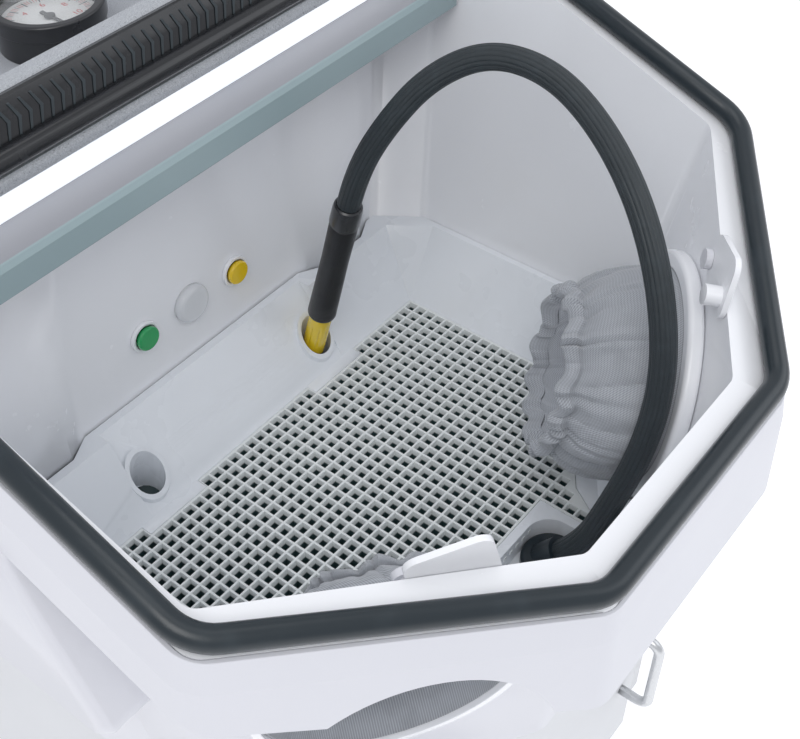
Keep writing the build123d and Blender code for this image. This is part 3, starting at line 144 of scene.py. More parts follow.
class Wire:
    """A number in a shader tree that joins in Python arithmetic."""

    def __init__(self, shader: "Shader", socket: bpy.types.NodeSocket) -> None:
        """Wrap a socket of a shader tree.

        Args:
            shader: the tree's shader.
            socket: an output in it.
        """
        self.shader = shader
        self.socket = socket

    def math(self, operation: str, *others: "Wire | float") -> "Wire":
        """Add a Math node on this value.

        Args:
            operation: the Math node's operation.
            others: its further inputs.

        Returns:
            The result.
        """
        node = self.shader.node("ShaderNodeMath", {"operation": operation}, [self, *others])
        return Wire(self.shader, node.outputs[0])

    def __add__(self, other: "Wire | float") -> "Wire":
        """Sum."""
        return self.math("ADD", other)

    __radd__ = __add__

    def __sub__(self, other: "Wire | float") -> "Wire":
        """Difference."""
        return self.math("SUBTRACT", other)

    def __rsub__(self, other: float) -> "Wire":
        """Difference from a number."""
        node = self.shader.node("ShaderNodeMath", {"operation": "SUBTRACT"}, [other, self])
        return Wire(self.shader, node.outputs[0])

    def __mul__(self, other: "Wire | float") -> "Wire":
        """Product."""
        return self.math("MULTIPLY", other)

    __rmul__ = __mul__

    def span(self, low: float, high: float) -> "Wire":
        """Smooth step from 0 at low to 1 at high."""
        node = self.shader.node(
            "ShaderNodeMapRange", {"interpolation_type": "SMOOTHSTEP"}, {0: self, 1: low, 2: high}
        )
        return Wire(self.shader, node.outputs[0])


class Shader:
    """A material's node tree under construction."""

    def __init__(self, name: str) -> None:
        """Start a material with one Principled shader."""
        self.material = bpy.data.materials.new(name)
        self.material.use_nodes = True
        self.tree = self.material.node_tree
        self.surface = self.tree.nodes["Principled BSDF"]
        self.place = self.node("ShaderNodeTexCoord", {}, {})

    def node(self, kind: str, settings: dict, values: "dict | list") -> bpy.types.Node:
        """Add a node.

        Args:
            kind: the node's type.
            settings: its attributes, set before its inputs.
            values: its inputs by index or name, as numbers, colours, sockets or wires.

        Returns:
            The node.
        """
        node = self.tree.nodes.new(kind)
        for name, value in settings.items():
            setattr(node, name, value)
        pairs = values.items() if isinstance(values, dict) else enumerate(values)
        for key, value in pairs:
            self.feed(node.inputs[key], value)
        return node

    def feed(self, socket: bpy.types.NodeSocket, value: object) -> None:
        """Set a socket to a value or link it."""
        if isinstance(value, Wire):
            value = value.socket
        if isinstance(value, bpy.types.NodeSocket):
            self.tree.links.new(value, socket)
        else:
            socket.default_value = value

    def coordinates(
        self, turn: tuple = (0.0, 0.0, 0.0), scale: tuple = (1.0, 1.0, 1.0)
    ) -> bpy.types.NodeSocket:
        """Object coordinates, turned and scaled.

        Args:
            turn: angles about X, Y and Z.
            scale: factors along X, Y and Z.

        Returns:
            The coordinates.
        """
        source = self.place.outputs["Object"]
        node = self.node("ShaderNodeMapping", {}, {"Vector": source, "Rotation": turn, "Scale": scale})
        return node.outputs[0]

    def noise(self, scale: float, detail: float = 2.0, vector: object = None) -> Wire:
        """Noise from 0 to 1.

        Args:
            scale: cycles per metre.
            detail: octaves.
            vector: coordinates, the object's own when left out.

        Returns:
            The noise value.
        """
        source = vector or self.place.outputs["Object"]
        node = self.node("ShaderNodeTexNoise", {}, {"Vector": source, "Scale": scale, "Detail": detail})
        return Wire(self, node.outputs["Fac"])

    def blend(self, factor: Wire, low: tuple, high: tuple) -> bpy.types.NodeSocket:
        """Mix two colours."""
        node = self.node("ShaderNodeMix", {"data_type": "RGBA"}, {0: factor, 6: colour(low), 7: colour(high)})
        return node.outputs[2]

    def bump(self, height: Wire, distance: float, strength: float = 1.0) -> None:
        """Raise the surface by a height in millimetre-sized steps."""
        node = self.node("ShaderNodeBump", {}, {"Strength": strength, "Distance": distance, "Height": height})
        self.feed(self.surface.inputs["Normal"], node.outputs[0])

    def set(self, **values: object) -> None:
        """Set inputs of the Principled shader; underscores stand for spaces."""
        for name, value in values.items():
            self.feed(self.surface.inputs[name.replace("_", " ")], value)


def colour(rgb: object) -> object:
    """A colour with alpha, or a socket as it is."""
    return (*rgb, 1.0) if isinstance(rgb, tuple) and len(rgb) == 3 else rgb


# ---- finishes --------------------------------------------------------------------------------


@dataclass(frozen=True)
class Moulding:
    """Moulded plastic with a slightly uneven skin and faint dust."""

    name: str
    tint: tuple
    roughness: float = 0.38
    grain: float = 900.0
    depth: float = 0.00004
    coat: float = 0.15
    shade: float = 0.93

    def build(self) -> bpy.types.Material:
        """Make the material.

        Returns:
            The material.
        """
        shader = Shader(self.name)
        cloud = shader.noise(9.0, 3.0)
        fine = shader.noise(self.grain, 2.0)
        dust = shader.noise(60.0, 6.0).span(0.52, 0.8)
        dark = tuple(part * self.shade for part in self.tint)
        shader.set(
            Base_Color=shader.blend(cloud.span(0.2, 0.8) * 0.25 + dust * 0.02, self.tint, dark),
            Roughness=cloud * 0.10 + dust * 0.02 + (self.roughness - 0.07),
            Coat_Weight=self.coat,
            Coat_Roughness=0.25,
        )
        shader.bump(fine + shader.noise(40.0) * 0.3, self.depth)
        return shader.material


@dataclass(frozen=True)
class Lattice:
    """Off-white lattice plastic that darkens down its cells with painted shade."""

    name: str
    tint: tuple = (0.82, 0.85, 0.85)
    # the dark teal of the painted shade that the cell walls take deep down
    stain: tuple = (0.03, 0.065, 0.07)
    top: float = 0.6
    # the painted shade begins this far below the top and is full at depth
    clean: float = 0.0062
    depth: float = 0.0085

    def build(self) -> bpy.types.Material:
        """Make the material.

        Returns:
            The material.
        """
        shader = Shader(self.name)
        parts = shader.node("ShaderNodeSeparateXYZ", {}, {0: shader.place.outputs["Object"]})
        below = self.top - Wire(shader, parts.outputs[2])
        cloud = shader.noise(25.0, 4.0)
        # painted shade: the colour darkens with depth below the grid's top, standing in for the shade down
        # the cells
        painted_depth_shade = (below + cloud * 0.001).span(self.clean, self.depth)
        shader.set(
            Base_Color=shader.blend(painted_depth_shade, self.tint, self.stain),
            Roughness=cloud * 0.2 + 0.3,
            Coat_Weight=0.1,
        )
        shader.bump(shader.noise(1100.0, 2.0) + cloud, 0.00005)
        return shader.material


@dataclass(frozen=True)
class Rubber:
    """Black rubber with a soft sheen and dusty wear."""

    name: str
    tint: tuple = (0.008, 0.016, 0.022)
    roughness: float = 0.30
    grain: float = 1400.0

    def build(self) -> bpy.types.Material:
        """Make the material.

        Returns:
            The material.
        """
        shader = Shader(self.name)
        dust = shader.noise(35.0, 7.0).span(0.48, 0.85)
        specks = shader.noise(700.0, 1.0).span(0.74, 0.8)
        pale = tuple(part * 1.5 + 0.005 for part in self.tint)
        shader.set(
            Base_Color=shader.blend(dust * 0.6 + specks * 0.4, self.tint, pale),
            Roughness=dust * 0.22 + self.roughness,
            Coat_Weight=0.2,
            Coat_Roughness=0.3,
        )
        shader.bump(shader.noise(self.grain, 3.0) + dust, 0.00006)
        return shader.material


@dataclass(frozen=True)
class Speckle:
    """Grey plastic sheet with a fine two-tone fleck."""

    name: str
    tint: tuple
    fleck: tuple

    def build(self) -> bpy.types.Material:
        """Make the material.

        Returns:
            The material.
        """
        shader = Shader(self.name)
        flecks = shader.noise(1500.0, 2.0).span(0.5, 0.62)
        dark = shader.noise(1100.0, 2.0).span(0.6, 0.68)
        mixed = shader.blend(flecks * 0.8, self.tint, self.fleck)
        black = colour((0.0, 0.0, 0.0))
        tone = shader.node("ShaderNodeMix", {"data_type": "RGBA"}, {0: dark * 0.55, 6: mixed, 7: black})
        shader.set(Base_Color=tone.outputs[2], Roughness=flecks * 0.2 + 0.35)
        shader.bump(flecks + dark, 0.00008)
        return shader.material


@dataclass(frozen=True)
class Metal:
    """Bare or plated metal with fine brushing."""

    name: str
    tint: tuple
    roughness: float
    stretch: tuple = (1.0, 1.0, 40.0)

    def build(self) -> bpy.types.Material:
        """Make the material.

        Returns:
            The material.
        """
        shader = Shader(self.name)
        brushed = shader.noise(300.0, 3.0, shader.coordinates(scale=self.stretch))
        stain = shader.noise(22.0, 5.0).span(0.5, 0.75)
        dark = tuple(part * 0.72 for part in self.tint)
        shader.set(
            Base_Color=shader.blend(stain * 0.6 + brushed * 0.3, self.tint, dark),
            Metallic=1.0,
            Roughness=brushed * 0.15 + stain * 0.1 + self.roughness,
        )
        shader.bump(brushed, 0.00004)
        return shader.material


@dataclass(frozen=True)
class Clear:
    """Clear plate or lens."""

    name: str
    tint: tuple = (0.93, 0.96, 0.97)
    alpha: float = 0.16
    roughness: float = 0.04

    def build(self) -> bpy.types.Material:
        """Make the material.

        Returns:
            The material.
        """
        shader = Shader(self.name)
        smear = shader.noise(18.0, 5.0).span(0.45, 0.8)
        shader.set(
            Base_Color=shader.blend(smear, self.tint, (0.85, 0.88, 0.9)),
            Roughness=smear * 0.1 + self.roughness,
            Alpha=smear * 0.05 + self.alpha,
            Coat_Weight=0.6,
        )
        return shader.material


@dataclass(frozen=True)
class Glow:
    """Frosted diffuser lit from behind."""

    name: str
    power: float = 0.55

    def build(self) -> bpy.types.Material:
        """Make the material.

        Returns:
            The material.
        """
        shader = Shader(self.name)
        bands = shader.noise(30.0, 1.0, shader.coordinates(scale=(1.0, 0.01, 0.01)))
        shader.set(
            Base_Color=shader.blend(bands, (0.95, 0.97, 1.0), (0.86, 0.9, 0.95)),
            Roughness=bands * 0.1 + 0.4,
            Emission_Color=shader.blend(bands, (1.0, 1.0, 1.0), (0.86, 0.93, 1.0)),
            Emission_Strength=self.power,
        )
        shader.bump(shader.noise(900.0, 1.0), 0.00003)
        return shader.material


@dataclass(frozen=True)
class Twill:
    """Woven cloth with a diagonal rib, read along the piece's own map."""

    name: str
    tint: tuple = (0.42, 0.44, 0.475)
    thread: float = 0.0022
    width: float = 0.64
    length: float = 0.12

    def build(self) -> bpy.types.Material:
        """Make the material.

        Returns:
            The material.
        """
        shader = Shader(self.name)
        parts = shader.node("ShaderNodeSeparateXYZ", {}, {0: shader.place.outputs["UV"]})
        across = Wire(shader, parts.outputs[0]) * (self.width / self.thread * FULL_TURN)
        along = Wire(shader, parts.outputs[1]) * (self.length / self.thread * FULL_TURN)
        rib = (across + along).math("SINE") * 0.5 + 0.5
        weft = along.math("SINE") * 0.25 + 0.25
        soil = shader.noise(45.0, 6.0).span(0.45, 0.8)
        weave = rib * 0.7 + weft * 0.6
        dark = tuple(part * 0.62 for part in self.tint)
        light = tuple(min(1.0, part * 1.2) for part in self.tint)
        cloth = shader.blend(weave, dark, light)
        mix = {0: soil * 0.35, 6: cloth, 7: colour(dark)}
        tone = shader.node("ShaderNodeMix", {"data_type": "RGBA"}, mix)
        shader.set(Base_Color=tone.outputs[2], Roughness=soil * 0.1 + 0.8, Sheen_Weight=0.35)
        shader.bump(weave, 0.00025)
        return shader.material


@dataclass(frozen=True)
class Braid:
    """Ribbed braided hose cover, read along the hose's own map."""

    name: str
    tint: tuple = (0.010, 0.016, 0.020)
    ribs: int = 16
    picks: float = 420.0

    def build(self) -> bpy.types.Material:
        """Make the material.

        Returns:
            The material.
        """
        shader = Shader(self.name)
        parts = shader.node("ShaderNodeSeparateXYZ", {}, {0: shader.place.outputs["UV"]})
        round_ = Wire(shader, parts.outputs[0]) * (self.ribs * 3 * FULL_TURN)
        along = Wire(shader, parts.outputs[1]) * (self.picks * FULL_TURN)
        left = (round_ + along).math("SINE") * 0.5 + 0.5
        right = (round_ - along).math("SINE") * 0.5 + 0.5
        weave = left.math("MAXIMUM", right)
        dust = shader.noise(90.0, 5.0).span(0.45, 0.75)
        shader.set(
            Base_Color=shader.blend(weave * 0.5 + dust * 0.4, self.tint, (0.034, 0.046, 0.054)),
            Roughness=weave * 0.15 + dust * 0.12 + 0.36,
            Coat_Weight=0.15,
        )
        shader.bump(weave + dust, 0.0002)
        return shader.material


@dataclass(frozen=True)
class Knurl:
    """Black grip rubber with a moulded pip texture."""

    name: str
    pitch: float = 0.0016

    def build(self) -> bpy.types.Material:
        """Make the material.

        Returns:
            The material.
        """
        shader = Shader(self.name)
        cells = shader.node(
            "ShaderNodeTexVoronoi", {}, {"Vector": shader.place.outputs["Object"], "Scale": 1 / self.pitch}
        )
        pip = 1.0 - Wire(shader, cells.outputs["Distance"])
        dust = shader.noise(60.0, 6.0).span(0.5, 0.8)
        shader.set(
            Base_Color=shader.blend(pip * 0.5 + dust * 0.4, (0.004, 0.004, 0.006), (0.014, 0.015, 0.018)),
            Roughness=dust * 0.2 + 0.42,
            Coat_Weight=0.1,
        )
        shader.bump(pip, 0.0003)
        return shader.material


WHITE = (0.71, 0.715, 0.76)


class Finish(enum.Enum):
    """The finishes of the machine."""

    SHELL = Moulding("white_moulding", WHITE, roughness=0.4, grain=700.0)
    LINER = Moulding("gloss_white_liner", (0.92, 0.93, 0.96), roughness=0.27, coat=0.35)
    TRAY = Moulding("pale_grey_tray", (0.83, 0.86, 0.90), roughness=0.3, coat=0.3)
    GRID = Moulding("off_white_grid", (0.80, 0.82, 0.83), roughness=0.42)
    SEAL = Rubber("rim_seal_rubber")
    GLOSS_RUBBER = Rubber("gloss_black_rubber", (0.008, 0.009, 0.011), 0.2, 500.0)
    CONSOLE = Speckle("speckled_console", (0.42, 0.44, 0.47), (0.62, 0.64, 0.66))
    HOUSING = Moulding("light_grey_housing", (0.34, 0.345, 0.375), roughness=0.4)
    SHADE_BAND = Moulding("grey_green_band", (0.30, 0.39, 0.41), roughness=0.35)
    # painted shade: dark teal for the tray's deep sump faces, standing in for the shade under the grid
    SUMP = Moulding("sump_painted_shade", (0.018, 0.045, 0.05), roughness=0.3, shade=0.6)
    GLOW = Glow("lit_diffuser")
    STEEL = Metal("brushed_steel", (0.58, 0.59, 0.6), 0.28)
    ZINC = Metal("bright_zinc", (0.7, 0.71, 0.72), 0.22, (1.0, 1.0, 1.0))
    CABINET = Moulding("powder_coat", (0.70, 0.71, 0.73), roughness=0.5, grain=1500.0, depth=0.0001)
    RESERVOIR = Moulding("cloudy_tank", (0.6, 0.62, 0.62), roughness=0.45, shade=0.8)
    BLACK = Moulding("black_moulding", (0.02, 0.021, 0.024), roughness=0.3, coat=0.3, shade=1.5)
    BRAID = Braid("hose_braid")
    KNURL = Knurl("grip_pips")
    FERRULE = Moulding("yellow_ferrule", (0.86, 0.62, 0.02), roughness=0.25, coat=0.5, shade=0.85)
    BRISTLE = Moulding("bristle_nylon", (0.02, 0.02, 0.022), roughness=0.45)
    TWILL = Twill("sleeve_twill")
    GREEN = Moulding("green_cap", (0.01, 0.36, 0.10), roughness=0.2, coat=0.7, shade=0.8)
    YELLOW = Moulding("yellow_cap", (0.88, 0.60, 0.01), roughness=0.2, coat=0.7, shade=0.85)
    RED = Moulding("red_print", (0.7, 0.03, 0.02), roughness=0.4)
    GREEN_PRINT = Moulding("green_print", (0.05, 0.45, 0.12), roughness=0.4)
    INK = Moulding("black_print", (0.01, 0.01, 0.012), roughness=0.5)
    DIAL = Moulding("white_dial", (0.86, 0.86, 0.84), roughness=0.5)
    GLASS = Clear("clear_pane")
    LENS = Clear("clear_lens", (0.9, 0.92, 0.95), 0.75, 0.08)
    TYRE = Moulding("grey_tread", (0.07, 0.072, 0.075), roughness=0.6, shade=1.4)
    CHEVRON = Rubber("chevron_rubber", (0.018, 0.028, 0.034), 0.3, 900.0)
    SQUARES = Moulding("bright_squares", (0.9, 0.93, 0.93), roughness=0.3)
    LATTICE = Lattice("off_white_lattice")

    def material(self) -> bpy.types.Material:
        """The finish's one material, made the first time it is asked for."""
        found = bpy.data.materials.get(self.value.name)
        return found or self.value.build()


# ---- mesh helpers ----------------------------------------------------------------------------


class Workshop:
    """Makes pieces and hangs them on the frame."""

    smooth_angle = math.radians(32)

    def __init__(self, frame: Frame) -> None:
        """Keep the frame that pieces ride on."""
        self.frame = frame

    def piece(self, name: str, mesh: bpy.types.Mesh, finish: "Finish | None" = None) -> bpy.types.Object:
        """Put a mesh in the scene as a piece.

        Args:
            name: the piece's name.
            mesh: its mesh, in the row frame.
            finish: its finish, or none when the mesh has its materials.

        Returns:
            The object.
        """
        made = bpy.data.objects.new(name, mesh)
        bpy.context.scene.collection.objects.link(made)
        if finish:
            mesh.materials.clear()
            mesh.materials.append(finish.material())
        return made

    def hang(self, piece: bpy.types.Object, node: str, instead: bool = True) -> None:
        """Let a piece ride with a node's body.

        Args:
            piece: the piece.
            node: the CAD node that it belongs to.
            instead: whether the piece stands for the node.
        """
        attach(piece, self.frame.body_of[node])
        if instead:
            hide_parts(node)
        LOG.info("%s on %s", piece.name, node)

    def shade(self, mesh: bpy.types.Mesh) -> None:
        """Smooth a mesh except at its real edges."""
        mesh.polygons.foreach_set("use_smooth", [True] * len(mesh.polygons))
        mesh.set_sharp_from_angle(angle=self.smooth_angle)

    def eased(self, node: str, finish: Finish, width: float, segments: int = 3) -> bpy.types.Object:
        """A node's own shape with its edges eased.

        Args:
            node: the CAD node.
            finish: its finish.
            width: how far an edge is eased; 0 leaves it sharp.
            segments: facets across an eased edge.

        Returns:
            The piece.
        """
        mesh = self.frame.nodes[node].data.copy()
        mesh.materials.clear()
        shape = bmesh.new()
        shape.from_mesh(mesh)
        bmesh.ops.remove_doubles(shape, verts=shape.verts, dist=0.00001)
        if width > 0:
            before = sum(face.calc_area() for face in shape.faces)
            flat = shape.copy()
            bmesh.ops.dissolve_limit(flat, angle_limit=math.radians(0.4), verts=flat.verts, edges=flat.edges)
            bmesh.ops.triangulate(flat, faces=[face for face in flat.faces if len(face.verts) > 4])
            after = sum(face.calc_area() for face in flat.faces)
            if abs(after - before) < 0.0005 * before:
                flat.to_mesh(mesh)
            else:
                shape.to_mesh(mesh)
            flat.free()
        else:
            shape.to_mesh(mesh)
        shape.free()
        piece = self.piece(f"{node}_finish", mesh, finish)
        self.shade(mesh)
        if width > 0:
            bevel = piece.modifiers.new("eased", "BEVEL")
            bevel.width = width
            bevel.segments = segments
            bevel.limit_method = "ANGLE"
            bevel.angle_limit = self.smooth_angle
            bevel.use_clamp_overlap = True
            bevel.harden_normals = True
        self.hang(piece, node)
        return piece

    def settle(self, piece: bpy.types.Object) -> None:
        """Turn a piece's modifiers into plain mesh.

        Args:
            piece: the piece.
        """
        graph = bpy.context.evaluated_depsgraph_get()
        mesh = bpy.data.meshes.new_from_object(piece.evaluated_get(graph))
        piece.modifiers.clear()
        piece.data = mesh


# ---- camera and light ------------------------------------------------------------------------


@dataclass
class Studio:
    """Camera, lights and floor."""

    frame: Frame
    eye: tuple = (-0.6073, -0.7520, 0.9707)
    forward: tuple = (0.55915, 0.44509, -0.69946)
    right: tuple = (0.61783, -0.78629, -0.00645)
    lens: float = 56.25
    sensor: float = 36.0
    floor_half: float = 6.0
    floor_drop: float = 0.001

    def camera(self) -> None:
        """Place the camera over the operator's left shoulder."""
        data = bpy.data.cameras.new("camera")
        data.sensor_width = self.sensor
        data.lens = self.lens
        data.clip_end = 50.0
        made = bpy.data.objects.new("camera", data)
        bpy.context.scene.collection.objects.link(made)
        ahead = Vector(self.forward).normalized()
        side = Vector(self.right).normalized()
        up = side.cross(ahead)
        turn = Matrix((side, up, -ahead)).transposed().to_4x4()
        made.matrix_world = Matrix.Translation(self.frame.at(*self.eye)) @ turn
        bpy.context.scene.camera = made

    def lamp(self, name: str, at: Vector, aim: Vector, size: float, power: float, tint: tuple) -> None:
        """Add one soft lamp.

        Args:
            name: its name.
            at: where it stands.
            aim: where it points.
            size: its width.
            power: its power in watts.
            tint: its colour.
        """
        data = bpy.data.lights.new(name, "AREA")
        data.size = size
        data.energy = power
        data.color = tint
        made = bpy.data.objects.new(name, data)
        made.location = at
        made.rotation_euler = (aim - at).to_track_quat("-Z", "Y").to_euler()
        bpy.context.scene.collection.objects.link(made)

    def build(self) -> None:
        """Set the camera, the floor and the light."""
        self.camera()
        target = self.frame.at(0, -0.25, 0.1)
        self.lamp("key", target + Vector((-1.6, -1.0, 2.4)), target, 1.6, 24.0, (1.0, 0.99, 0.97))
        self.lamp("fill", target + Vector((1.8, -1.6, 1.5)), target, 1.8, 10.0, (0.93, 0.96, 1.0))
        self.lamp("top", target + Vector((0.2, 0.1, 2.6)), target, 1.4, 7.0, (1.0, 1.0, 1.0))
        mesh = bpy.data.meshes.new("floor")
        signs = ((-1, -1), (1, -1), (1, 1), (-1, 1))
        corners = [(a * self.floor_half, b * self.floor_half, -self.floor_drop) for a, b in signs]
        mesh.from_pydata(corners, [], [(0, 1, 2, 3)])
        floor = bpy.data.objects.new("floor", mesh)
        bpy.context.scene.collection.objects.link(floor)
        shader = Shader("pale_floor")
        shader.set(
            Base_Color=(0.9, 0.9, 0.91, 1.0), Roughness=0.75,
            Emission_Color=(1.0, 1.0, 1.0, 1.0), Emission_Strength=0.35,
        )
        mesh.materials.append(shader.material)
        floor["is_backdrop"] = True
        world = bpy.data.worlds.new("studio")
        bpy.context.scene.world = world
        world.use_nodes = True
        sky = world.node_tree.nodes["Background"]
        sky.inputs[0].default_value = (0.93, 0.95, 1.0, 1.0)
        sky.inputs[1].default_value = 0.72
        bpy.context.scene.view_settings.view_transform = "Standard"


# ---- carried-over pieces ---------------------------------------------------------------------


@dataclass
class Carcass:
    """Every piece whose frame shape stays, with its finish and the easing of its edges."""

    shop: Workshop
    easing: dict = field(
        default_factory=lambda: {
            "body_shell": (Finish.SHELL, 0.0045),
            "tub_shell": (Finish.SHELL, 0.003),
            "left_side_panel": (Finish.SHELL, 0.0),
            "right_side_panel": (Finish.SHELL, 0.0),
            "wash_chamber": (Finish.LINER, 0.0),
            "tray": (Finish.TRAY, 0.0015),
            "rim_seal": (Finish.SEAL, 0.0),
            "rear_seal": (Finish.GLOSS_RUBBER, 0.0),
            "rear_console": (Finish.CONSOLE, 0.0015),
            "light_housing": (Finish.HOUSING, 0.0015),
            "lamp_diffuser": (Finish.GLOW, 0.0),
            "trim_strip": (Finish.CONSOLE, 0.0),
            "left_port_ring": (Finish.LINER, 0.001),
            "right_port_ring": (Finish.LINER, 0.001),
            "left_port_latch": (Finish.LINER, 0.0015),
            "right_port_latch": (Finish.LINER, 0.0015),
            "latch_studs": (Finish.SHELL, 0.001),
            "button_bezels": (Finish.LINER, 0.0008),
            "green_button": (Finish.GREEN, 0.0),
            "yellow_button": (Finish.YELLOW, 0.0),
            "indicator_lens": (Finish.LENS, 0.0),
            "switch_bodies": (Finish.BLACK, 0.001),
            "gauge_case": (Finish.BLACK, 0.0012),
            "gauge_dial": (Finish.DIAL, 0.0),
            "gauge_needle": (Finish.INK, 0.0003),
            "gauge_glass": (Finish.GLASS, 0.0),
            "gauge_bezel": (Finish.BLACK, 0.0008),
            "hose_grommet": (Finish.SEAL, 0.0012),
            "base_cabinet": (Finish.CABINET, 0.0),
            "cabinet_door": (Finish.CABINET, 0.0015),
            "cabinet_door_handle": (Finish.ZINC, 0.0),
            "door_hinge_pins": (Finish.STEEL, 0.0006),
            "fluid_reservoir": (Finish.RESERVOIR, 0.0),
            "pump": (Finish.BLACK, 0.001),
            "supply_pipe": (Finish.STEEL, 0.0),
            "drain_pipe": (Finish.RESERVOIR, 0.0),
            "filter_canister": (Finish.BLACK, 0.001),
            "castor_plates": (Finish.ZINC, 0.0008),
            "hood_shell": (Finish.SHELL, 0.0),
            "hood_window": (Finish.GLASS, 0.0),
            "hood_window_frame": (Finish.SEAL, 0.001),
            "hood_handle": (Finish.BLACK, 0.0),
            "hinge_brackets": (Finish.STEEL, 0.001),
            "hinge_pins": (Finish.ZINC, 0.0006),
        }
    )

    sump: float = 0.0152
    recess: float = 0.372


    def second(self, piece: bpy.types.Object, finish: Finish, chosen: Callable) -> None:
        """Give a second finish to the faces that are chosen."""
        piece.data.materials.append(finish.material())
        for face in piece.data.polygons:
            face.material_index = int(chosen(face))

    def build(self) -> None:
        """Finish the carried-over nodes."""
        for node, (finish, width) in self.easing.items():
            piece = self.shop.eased(node, finish, width)
            if node == "light_housing":
                self.second(piece, Finish.SHADE_BAND, lambda face: face.normal.y < -0.8)
            elif node == "tray":
                # painted shade: tray faces deep in the sump, back from the recess line, take the dark sump
                # finish
                low = self.shop.frame.grid_top - self.sump
                recess = self.shop.frame.back_wall - self.recess
                self.second(piece, Finish.SUMP, lambda face: face.center.z < low and face.center.y > recess)
        for node in self.shop.frame.nodes:
            if node.endswith("castor_fork"):
                self.shop.eased(node, Finish.ZINC, 0.0008)
            elif node.endswith("castor_wheel"):
                self.shop.eased(node, Finish.TYRE, 0.0)


# ---- repeats ---------------------------------------------------------------------------------


class Scatter:
    """Sets copies of one small shape on guide points and welds them into a plain mesh."""

    def __init__(self, shop: Workshop, name: str, finish: Finish) -> None:
        """Build the node tree for one kind of repeated shape.

        Args:
            shop: the workshop that keeps the pieces.
            name: name of the repeated thing.
            finish: its finish.
        """
        self.shop = shop
        self.name = name
        self.finish = finish
        self.tree = bpy.data.node_groups.new(f"{name}_scatter", "GeometryNodeTree")
        face = self.tree.interface
        face.new_socket("Geometry", in_out="INPUT", socket_type="NodeSocketGeometry")
        self.shape_id = face.new_socket("Shape", in_out="INPUT", socket_type="NodeSocketObject").identifier
        self.size_id = face.new_socket("Size", in_out="INPUT", socket_type="NodeSocketFloat").identifier
        dress = face.new_socket("Finish", in_out="INPUT", socket_type="NodeSocketMaterial")
        self.finish_id = dress.identifier
        face.new_socket("Geometry", in_out="OUTPUT", socket_type="NodeSocketGeometry")
        given = self.tree.nodes.new("NodeGroupInput")
        result = self.tree.nodes.new("NodeGroupOutput")
        shape = self.tree.nodes.new("GeometryNodeObjectInfo")
        spread = self.tree.nodes.new("GeometryNodeInstanceOnPoints")
        turn = self.tree.nodes.new("GeometryNodeInputNamedAttribute")
        turn.data_type = "FLOAT_VECTOR"
        turn.inputs["Name"].default_value = "turn"
        euler = self.tree.nodes.new("FunctionNodeEulerToRotation")
        real = self.tree.nodes.new("GeometryNodeRealizeInstances")
        paint = self.tree.nodes.new("GeometryNodeSetMaterial")
        link = self.tree.links.new
        link(given.outputs["Geometry"], spread.inputs["Points"])
        link(given.outputs["Shape"], shape.inputs["Object"])
        link(shape.outputs["Geometry"], spread.inputs["Instance"])
        link(turn.outputs["Attribute"], euler.inputs[0])
        link(euler.outputs[0], spread.inputs["Rotation"])
        link(given.outputs["Size"], spread.inputs["Scale"])
        link(spread.outputs[0], real.inputs[0])
        link(real.outputs[0], paint.inputs["Geometry"])
        link(given.outputs["Finish"], paint.inputs["Material"])
        link(paint.outputs[0], result.inputs[0])

    def mesh(self, shape: bpy.types.Mesh, places: list, size: float = 1.0) -> bpy.types.Mesh:
        """Set the shape at every place.

        Args:
            shape: the small mesh, about its own origin.
            places: pairs of a point and the turn of the shape there, as a 3x3 matrix.
            size: scale of the shape.

        Returns:
            One plain mesh.
        """
        guide_mesh = bpy.data.meshes.new(f"{self.name}_guide")
        guide_mesh.from_pydata([tuple(point) for point, _ in places], [], [])
        turns = guide_mesh.attributes.new("turn", "FLOAT_VECTOR", "POINT")
        turns.data.foreach_set("vector", [part for _, turn in places for part in turn.to_euler()])
        guide = bpy.data.objects.new(f"{self.name}_guide", guide_mesh)
        sample = bpy.data.objects.new(f"{self.name}_shape", shape)
        scene = bpy.context.scene.collection.objects
        scene.link(guide)
        scene.link(sample)
        spread = guide.modifiers.new("scatter", "NODES")
        spread.node_group = self.tree
        spread[self.shape_id] = sample
        spread[self.size_id] = size
        spread[self.finish_id] = self.finish.material()
        graph = bpy.context.evaluated_depsgraph_get()
        made = bpy.data.meshes.new_from_object(guide.evaluated_get(graph))
        bpy.data.objects.remove(guide)
        bpy.data.objects.remove(sample)
        return made

    def build(
        self, shape: bpy.types.Mesh, places: list, node: str, instead: bool = False
    ) -> bpy.types.Object:
        """Set the shape at every place as one piece that goes with a node.

        Args:
            shape: the small mesh.
            places: points and turns.
            node: the CAD node that the piece belongs to.
            instead: whether it stands for the node.

        Returns:
            The piece.
        """
        made = self.shop.piece(self.name, self.mesh(shape, places))
        self.shop.hang(made, node, instead)
        return made


def facing(out: Vector, up: Vector) -> Matrix:
    """Turn that takes a shape's Z to out and its Y near up.

    Args:
        out: where the shape's Z goes.
        up: where its Y goes, as nearly as it can.

    Returns:
        The turn.
    """
    z = out.normalized()
    x = up.cross(z).normalized()
    return Matrix((x, z.cross(x), z)).transposed()


